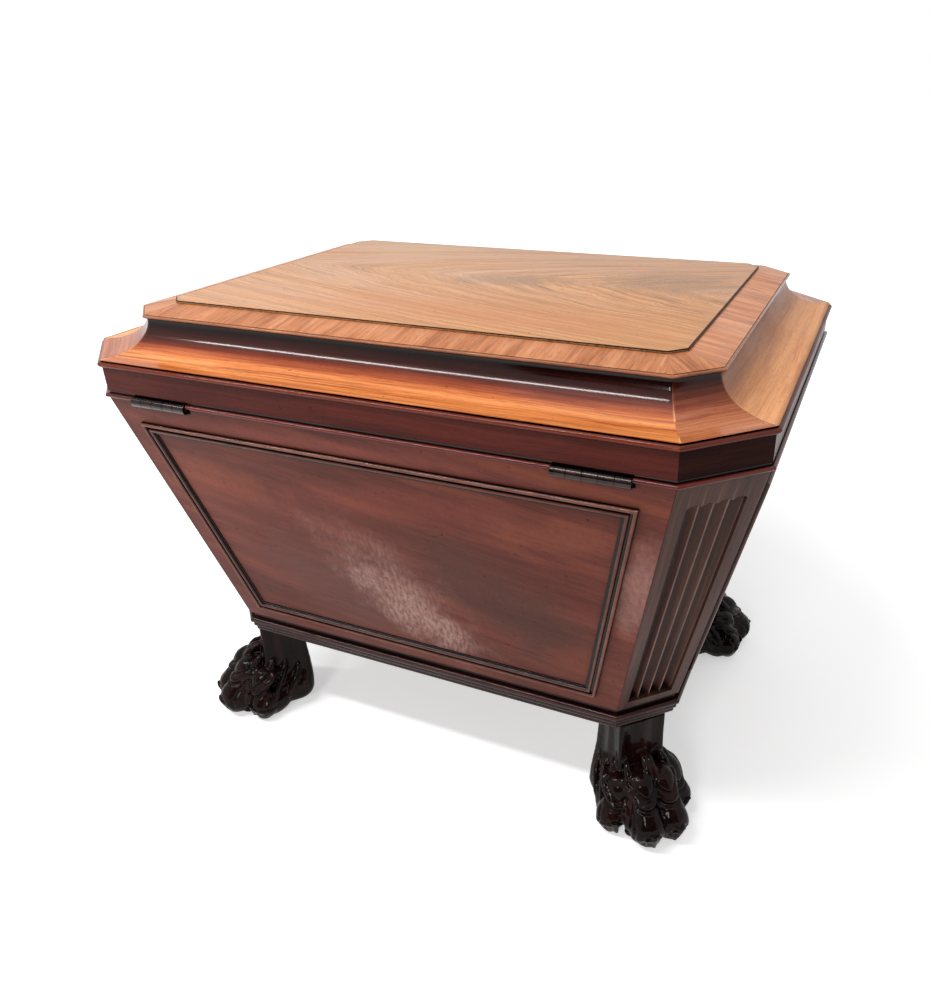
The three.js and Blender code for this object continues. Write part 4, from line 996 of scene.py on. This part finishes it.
# The paw stands in its own frame: X outwards along the diagonal, Z up from the floor, in millimetres.
paw = {
    "height": 135.7, "voxel": 1.2,
    "settle": 3.4,                   # how far the toes sink to stand flat on the floor
    "dents": [(9, 0.5), (4, 0.2)],   # size and depth of the gouge's small dents
    "ankle": 90,                     # above it they are shallower
    # height, back, front, half width and corner radius of the leg and heel
    "leg": [
        (11, -42, 10, 26, 16), (14, -57, 14, 38, 20), (22, -64, 16, 44, 22), (34, -66, 14, 43, 22),
        (48, -66, 8, 38, 16), (62, -65, 2, 33, 10), (80, -63.5, -4, 30, 6), (100, -62.5, -6, 29, 5),
        (135.7, -62, -6, 29, 5)],
    # out, across, height and radius along each toe: root, knuckle, neck, pad and tip
    "innerToe": [
        (-6, -9, 62, 13), (6, -11, 67, 15), (16, -12, 65, 17.5), (27, -13, 54, 14), (33, -14, 42, 17),
        (38, -14, 31, 21), (39, -14, 22, 21), (42, -13, 14, 16), (44, -12, 8, 10)],
    "outerToe": [
        (-22, -24, 54, 12), (-12, -28, 60, 14), (0, -31, 58, 16.5), (6, -35, 47, 13), (5, -38, 36, 16),
        (5, -40, 26, 19.5), (6, -40, 19, 19), (9, -40, 12, 14), (12, -39, 8, 9)],
    # the fleshy side of the foot, behind the outer toe
    "side": [(-34, -26, 36, 13), (-22, -32, 28, 16), (-8, -35, 20, 17), (4, -36, 15, 14)],
    # the skin between the toes
    "webs": [[(6, -25, 50, 12), (22, -25, 30, 12), (25, -25, 10, 9)],
             [(18, 0, 52, 12), (31, 0, 28, 12), (33, 0, 10, 9)]],
    # locks of hair round the knuckles, and the long ones that run from the leg into the clefts
    "strand": 2.6, "lock": 3.6,
    "locks": [
        ((-22, -27, 84), (-10, -33, 72), (12, -30, 38)), ((-34, -29, 78), (-24, -37, 60), (-8, -50, 30)),
        ((-8, -18, 90), (6, -24, 78), (25, -29, 42)), ((-9, -3, 94), (12, -3, 84), (38, -1, 48)),
        ((-48, -29, 70), (-42, -38, 54), (-24, -48, 26))],
    "claw": {"root": 8.0, "tip": 2.0, "height": 10},
    # gouge cuts on every toe: station along it and degrees round it from its top, then depth and width;
    # a negative depth leaves a ridge standing
    "toeCuts": [
        ([(0.4, -62), (1.5, -62), (2.4, -40), (2.8, 0), (2.4, 40), (1.5, 62), (0.4, 62)], 2.6, 1.8),
        ([(0.6, -84), (1.9, -78), (2.9, -46), (3.2, 0), (2.9, 46), (1.9, 78), (0.6, 84)], -1.3, 1.6),
        ([(1.2, -104), (2.4, -92), (3.3, -54), (3.6, 0), (3.3, 54), (2.4, 92), (1.2, 104)], 2.4, 1.8),
        ([(7.6, -44), (6.4, -36), (5.3, 0), (6.4, 36), (7.6, 44)], 2.2, 1.5),
        ([(3.9, -78), (5.0, -62), (6.4, -70)], 1.6, 1.6), ([(3.9, 78), (5.0, 62), (6.4, 70)], 1.6, 1.6)],
    # the same on the leg, as points: hollow facets between sharper arrises
    "legCuts": [
        ([(-5, -14, 150), (-5, -14, 118), (-2, -14, 92)], 2.2, 8),
        ([(-22, -30, 150), (-22, -30, 110), (-20, -32, 84)], 2.4, 8),
        ([(-46, -30, 150), (-46, -31, 100), (-44, -38, 62)], 2.4, 8)],
}


def skin(work, rings):
    # closes a stack of vertex rings into a solid
    count = len(rings[0])
    for a, b in zip(rings, rings[1:]):
        for j in range(count):
            work.faces.new((a[j], a[(j + 1) % count], b[(j + 1) % count], b[j]))
    work.faces.new(rings[0])
    work.faces.new(list(reversed(rings[-1])))


def sweep(work, path, radii, sides=16):
    # a closed tube through points, with its own radius at each
    rings = []
    for i, at in enumerate(path):
        along = (path[min(i + 1, len(path) - 1)] - path[max(i - 1, 0)]).normalized()
        side = along.cross(Vector((0, 0, 1)))
        side = side.normalized() if side.length > 0.05 else Vector((0, 1, 0))
        lift = side.cross(along)
        rings.append([work.verts.new(at + side * (radii[i] * cos(2 * pi * j / sides))
                                     + lift * (radii[i] * sin(2 * pi * j / sides))) for j in range(sides)])
    skin(work, rings)


def curveThrough(points, count):
    # smooth samples through a list of vectors
    made = []
    last = len(points) - 1
    for i in range(count + 1):
        t = i / count * last
        k = min(int(t), last - 1)
        f = t - k
        p0, p1, p2, p3 = points[max(k - 1, 0)], points[k], points[k + 1], points[min(k + 2, last)]
        made.append(0.5 * ((2 * p1) + (p2 - p0) * f + (2 * p0 - 5 * p1 + 4 * p2 - p3) * f * f
                           + (3 * p1 - p0 - 3 * p2 + p3) * f ** 3))
    return made


def onToe(stations, hand, place, turn):
    # the point on a toe's skin at a place between its stations, turned round from its top
    whole = [Vector((v[0], -hand * v[1], v[2])) for v in stations]
    k = min(int(place), len(whole) - 2)
    f = place - k
    along = (whole[k + 1] - whole[k]).lerp(whole[min(k + 2, len(whole) - 1)] - whole[k + 1], f).normalized()
    ahead = Vector((whole[3].x - whole[0].x, whole[3].y - whole[0].y, 0)).normalized()
    side = ahead.cross(Vector((0, 0, 1)))
    radius = stations[k][3] * (1 - f) + stations[k + 1][3] * f
    turn = radians(turn)
    outwards = side.cross(along).normalized() * cos(turn) + side * sin(turn)
    return whole[k].lerp(whole[k + 1], f) + outwards * radius


def gougeCuts(p):
    # samples along every cut, with depth and width
    samples = []
    for hand in (-1, 1):
        for name in ("innerToe", "outerToe"):
            for line, depth, width in p["toeCuts"]:
                for place in curveThrough([Vector((a, b, 0)) for a, b in line], 50):
                    samples.append((onToe(p[name], hand, place.x, place.y), depth, width))
        for line, depth, width in p["legCuts"]:
            for at in curveThrough([Vector((x, -hand * y, z)) for x, y, z in line], 50):
                samples.append((at, depth, width))
    return samples


def buildLeg(work, stations):
    # leg and heel: a square block with eased corners that swells towards the heel
    rings = []
    for h, back, front, half, radius in [tuple(v) for v in curveThrough([Vector(s) for s in stations], 40)]:
        ring = []
        for i in range(48):
            turn = 2 * pi * (i + 0.5) / 48
            c, s = cos(turn), sin(turn)
            cx, cy = (front - back) / 2 - radius, half - radius
            x = (front + back) / 2 + max(-cx, min(cx, c * cx * 3)) + radius * c
            ring.append(work.verts.new((x, max(-cy, min(cy, s * cy * 3)) + radius * s, h)))
        rings.append(ring)
    skin(work, rings)


def buildToe(work, name, hand):
    root, rise, egg, neck, low = [Vector((v[0], -hand * v[1], v[2])) for v in paw[name][:5]]
    radii = [v[3] for v in paw[name]]
    ahead = (neck - root)
    ahead.z = 0
    ahead.normalize()
    across, up = Vector((-ahead.y, ahead.x, 0)), Vector((0, 0, 1))
    # locks of hair that part round the knuckle and meet again below it
    for way in (-1, 1):
        for lead, lift in ((0, 1.0), (8, 0.8)):
            line = [root + across * way * (radii[0] * 0.45 + lead * 0.8) + up * 12 - ahead * 8,
                    rise + across * way * (radii[1] * 0.7 + lead * 0.45) + up * (radii[1] * 0.62 * lift),
                    egg + across * way * (radii[2] * 0.93 + lead * 0.2) + up * (radii[2] * 0.16 * lift),
                    neck + across * way * (radii[3] * 0.82) + ahead * 5,
                    low + across * way * (radii[4] * 0.5 - lead * 0.5) + ahead * radii[4] * 0.72]
            thick = [0.8 + paw["strand"] * sin(pi * i / 20) ** 0.7 for i in range(21)]
            sweep(work, curveThrough(line, 20), thick, 12)
    # the claw hugs the front of the pad and points down
    claw = paw["claw"]
    tip = Vector((paw[name][-1][0], -hand * paw[name][-1][1], claw["height"]))
    line = [onToe(paw[name], hand, 5.4, 0) - ahead * 3.5, onToe(paw[name], hand, 6.2, 0) - ahead * 2,
            tip + ahead * (radii[-1] - 1)]
    sweep(work, curveThrough(line, 14),
          [claw["root"] - (claw["root"] - claw["tip"]) * i / 14 for i in range(15)], 12)


def carvePaw():
    p = paw
    work = bmesh.new()
    buildLeg(work, p["leg"])
    for hand in (-1, 1):
        def curve(stations, count):
            made = curveThrough([Vector(v) for v in stations], count)
            return [Vector((v[0], -hand * v[1], v[2])) for v in made], [v[3] for v in made]
        for name in ("innerToe", "outerToe", "side"):
            sweep(work, *curve(p[name], 30), 24)
        for web in p["webs"]:
            sweep(work, *curve(web, 12), 20)
        for name in ("innerToe", "outerToe"):
            buildToe(work, name, hand)
        for lock in p["locks"]:
            line = curveThrough([Vector((x, -hand * y, z)) for x, y, z in lock], 18)
            sweep(work, line, [1.0 + p["lock"] * sin(pi * i / 18) ** 0.8 for i in range(19)], 12)
    mesh = bpy.data.meshes.new("pawBlank")
    for v in work.verts:
        v.co *= 0.001
    work.to_mesh(mesh)
    work.free()
    blank = bpy.data.objects.new("pawBlank", mesh)
    scene.collection.objects.link(blank)
    merge = blank.modifiers.new("merge", "REMESH")
    merge.mode, merge.voxel_size = "VOXEL", p["voxel"] / 1000
    soften = blank.modifiers.new("soften", "SMOOTH")
    soften.factor, soften.iterations = 0.5, 2
    shape = bpy.data.meshes.new_from_object(blank.evaluated_get(bpy.context.evaluated_depsgraph_get()))
    bpy.data.objects.remove(blank)
    # gouge cuts and dents, then everything below the floor is planed off
    trees = []
    for wide in (False, True):
        cuts = [cut for cut in gougeCuts(p) if (cut[2] > 4) == wide]
        tree = kdtree.KDTree(len(cuts))
        for i, cut in enumerate(cuts):
            tree.insert(cut[0], i)
        tree.balance()
        trees.append((tree, cuts))
    moved = []
    for at, normal in [(v.co * 1000, v.normal.copy()) for v in shape.vertices]:
        dent = -sum(noise.noise(at / size) * deep for size, deep in p["dents"])
        dent *= 0.7 if at.z < p["ankle"] else 0.2
        for tree, cuts in trees:
            _, i, far = tree.find(at)
            dent += cuts[i][1] * exp(-(max(far - 0.5, 0) / cuts[i][2]) ** 2)
        at -= normal * dent
        at.z = min(max(at.z - p["settle"] * (1 - at.z / p["height"]), 0), p["height"])
        moved += list(at * 0.001)
    shape.vertices.foreach_set("co", moved)
    shape.shade_smooth()
    shape.materials.append(carved)
    return shape


def buildPaws():
    shape = carvePaw()
    foot = corners(outlines["foot"])
    for side in (1, 3, 5, 7):
        a, b = foot[side], foot[(side + 1) % 8]
        made = bpy.data.objects.new("paw_" + sideNames[side], shape)
        scene.collection.objects.link(made)
        made.matrix_world = (Matrix.Translation(((a[0] + b[0]) / 2000, (a[1] + b[1]) / 2000, 0))
                             @ Matrix.Rotation(side * pi / 4 - pi / 2, 4, "Z"))
        fit(made, "carcase", "carved_mahogany", "paw_foot_" + sideNames[side])
    print("paws carved,", len(shape.polygons), "faces each")


def setMaterial(node, material):
    places = nodes[node].material_slots
    if not places:
        nodes[node].data.materials.append(material)
    for place in places:
        place.material = material


# how far the grain of the case veneers tilts out of level
veneerTilts = {"front": 0.06, "right": 0.06, "rear": -0.16, "left": 0.06}


def dressNodes():
    # finishes on the pieces that keep their own shape
    rim = corners(outlines["rim"])
    up = Vector((0, 0, 1))
    for side, name in enumerate(sideNames):
        a, b = rim[side], rim[(side + 1) % 8]
        along = Vector((b[0] - a[0], b[1] - a[1], 0)).normalized()
        seed = side * 1.7
        look = shadedCantFrieze if side % 2 else finishes["friezeMahogany"]
        setMaterial("lid_frieze_" + name, woodMaterial("friezeMahogany_" + name, look, along, up, seed=seed))
        if name in veneerTilts:
            tilted = (along + up * veneerTilts[name]).normalized()
            rise = up - tilted * up.dot(tilted)
            marks = {"patches": rearPatches, "axes": ((1, 0, 0), (0, 0, 1))} if name == "rear" else {}
            setMaterial("case_wall_" + name, woodMaterial(
                "caseMahogany_" + name, finishes["caseMahogany"], tilted, rise, seed=seed, **marks))
    for node in nodes:
        if node.startswith(("divider", "base_board")):
            setMaterial(node, planed)
        elif node.startswith(("lock_case", "lock_link")):
            setMaterial(node, brass)
        elif node.startswith("lock_bolt"):
            setMaterial(node, steel)
    setMaterial("zinc_liner", zinc)


studio = {
    "floor": "#F0F0F0", "floorSize": 60.0, "paperFibre": 3.333, "paperRelief": 0.5, "world": 0.35,
    "clearRing": (0.6, 1.4), "glow": 0.5,   # metres from the middle where the floor turns to plain white
    "lamps": [
        # name, place, aim, width, depth, power in watts
        ("overhead", (-0.1, 0.0, 2.5), (0, 0, 0.4), 2.0, 1.6, 13),
        ("strip", (0.95, 0.98, 2.0), (0.95, 0.98, 0.5), 1.9, 0.12, 34),
        ("fill", (-0.25, 2.7, 1.6), (0, 0, 0.3), 0.7, 0.6, 24),
    ],
    # dark cloth behind the camera, which the upright polished faces mirror
    "cloth": {
        "colour": "#241F1D", "nap": "#2E2926", "napSize": 16.67,
        "distance": 3.4, "height": 3.2, "width": 7.0,
    },
}


def stagePlane(name, points, material):
    mesh = bpy.data.meshes.new(name)
    mesh.from_pydata(points, [], [tuple(range(len(points)))])
    made = bpy.data.objects.new(name, mesh)
    scene.collection.objects.link(made)
    mesh.materials.append(material)


def seenRays(tree):
    rays = addNode(tree, "LightPath", {})
    seen = addNode(tree, "Math", {
        "operation": "MAXIMUM", 0: rays["Is Camera Ray"], 1: rays["Is Glossy Ray"]})[0]
    return addNode(tree, "Math", {"operation": "MAXIMUM", 0: seen, 1: rays["Is Transmission Ray"]})[0]


def buildFloor(s):
    half = s["floorSize"] / 2
    material, tree = newMaterial("paperSweep")
    place = addNode(tree, "TexCoord", {})["Object"]
    fibres = addNode(tree, "TexNoise", {"Vector": place, "Scale": 1000 / s["paperFibre"]})["Fac"]
    bump = addNode(tree, "Bump", {
        "Strength": 0.05, "Distance": s["paperRelief"] / 1000, "Height": fibres})["Normal"]
    paper = addNode(tree, "BsdfDiffuse", {"Color": s["floor"], "Normal": bump})["BSDF"]
    far = addNode(tree, "VectorMath", {"operation": "LENGTH", 0: place})["Value"]
    start, stop = s["clearRing"]
    glow = addNode(tree, "MapRange", {
        "From Min": start, "From Max": stop, "To Min": s["glow"], "To Max": 1.0, "Value": far})["Result"]
    glow = addNode(tree, "Emission", {"Color": "#FFFFFF", "Strength": glow})[0]
    lit = addNode(tree, "AddShader", {0: paper, 1: glow})[0]
    shader = addNode(tree, "MixShader", {0: seenRays(tree), 1: paper, 2: lit})[0]
    addNode(tree, "OutputMaterial", {"Surface": shader})
    stagePlane("floor", [(-half, -half, 0), (half, -half, 0), (half, half, 0), (-half, half, 0)], material)


def buildCloth(c):
    material, tree = newMaterial("blackCloth")
    place = addNode(tree, "TexCoord", {})["Object"]
    nap = addNode(tree, "TexNoise", {"Vector": place, "Scale": 1000 / c["napSize"]})["Fac"]
    colour = addNode(tree, "ValToRGB", {"Fac": nap, "stops": [(0.3, c["colour"]), (0.7, c["nap"])]})["Color"]
    cloth = addNode(tree, "BsdfDiffuse", {"Color": colour})["BSDF"]
    clear = addNode(tree, "BsdfTransparent", {})["BSDF"]
    seen = addNode(tree, "LightPath", {})["Is Camera Ray"]
    shader = addNode(tree, "MixShader", {0: seen, 1: cloth, 2: clear})[0]
    addNode(tree, "OutputMaterial", {"Surface": shader})
    away = Vector((viewpoint["place"][0], viewpoint["place"][1], 0)).normalized()
    wide = Vector((-away.y, away.x, 0)) * c["width"] / 2
    at, high = away * c["distance"], Vector((0, 0, c["height"]))
    stagePlane("cloth", [at - wide, at + wide, at + wide + high, at - wide + high], material)


def buildStudio(s):
    buildFloor(s)
    buildCloth(s["cloth"])
    world = bpy.data.worlds.new("studio")
    scene.world = world
    world.use_nodes = True
    tree = world.node_tree
    tree.nodes.clear()
    # white to the camera and in mirrors, soft grey as a light
    soft, white = [addNode(tree, "Background", {"Color": "#FFFFFF", "Strength": level})[0]
                   for level in (s["world"], 1.0)]
    shader = addNode(tree, "MixShader", {0: seenRays(tree), 1: soft, 2: white})[0]
    addNode(tree, "OutputWorld", {"Surface": shader})
    for name, at, aim, width, depth, power in s["lamps"]:
        data = bpy.data.lights.new(name, "AREA")
        data.shape, data.size, data.size_y, data.energy = "RECTANGLE", width, depth, power
        lamp = bpy.data.objects.new(name, data)
        lamp.location = at
        lamp.rotation_euler = (Vector(aim) - Vector(at)).to_track_quat("-Z", "Y").to_euler()
        scene.collection.objects.link(lamp)


buildCavetto()
buildLidBead(hinges)
buildTop()
print("lid built")
for side in range(8):
    if side % 2:
        buildFlutedCorner(side)
    else:
        buildPanelMoulding(side)
buildBaseMoulding()
buildHinges()
print("case built")
buildPaws()
dressNodes()
buildStudio(studio)
print("studio lit")
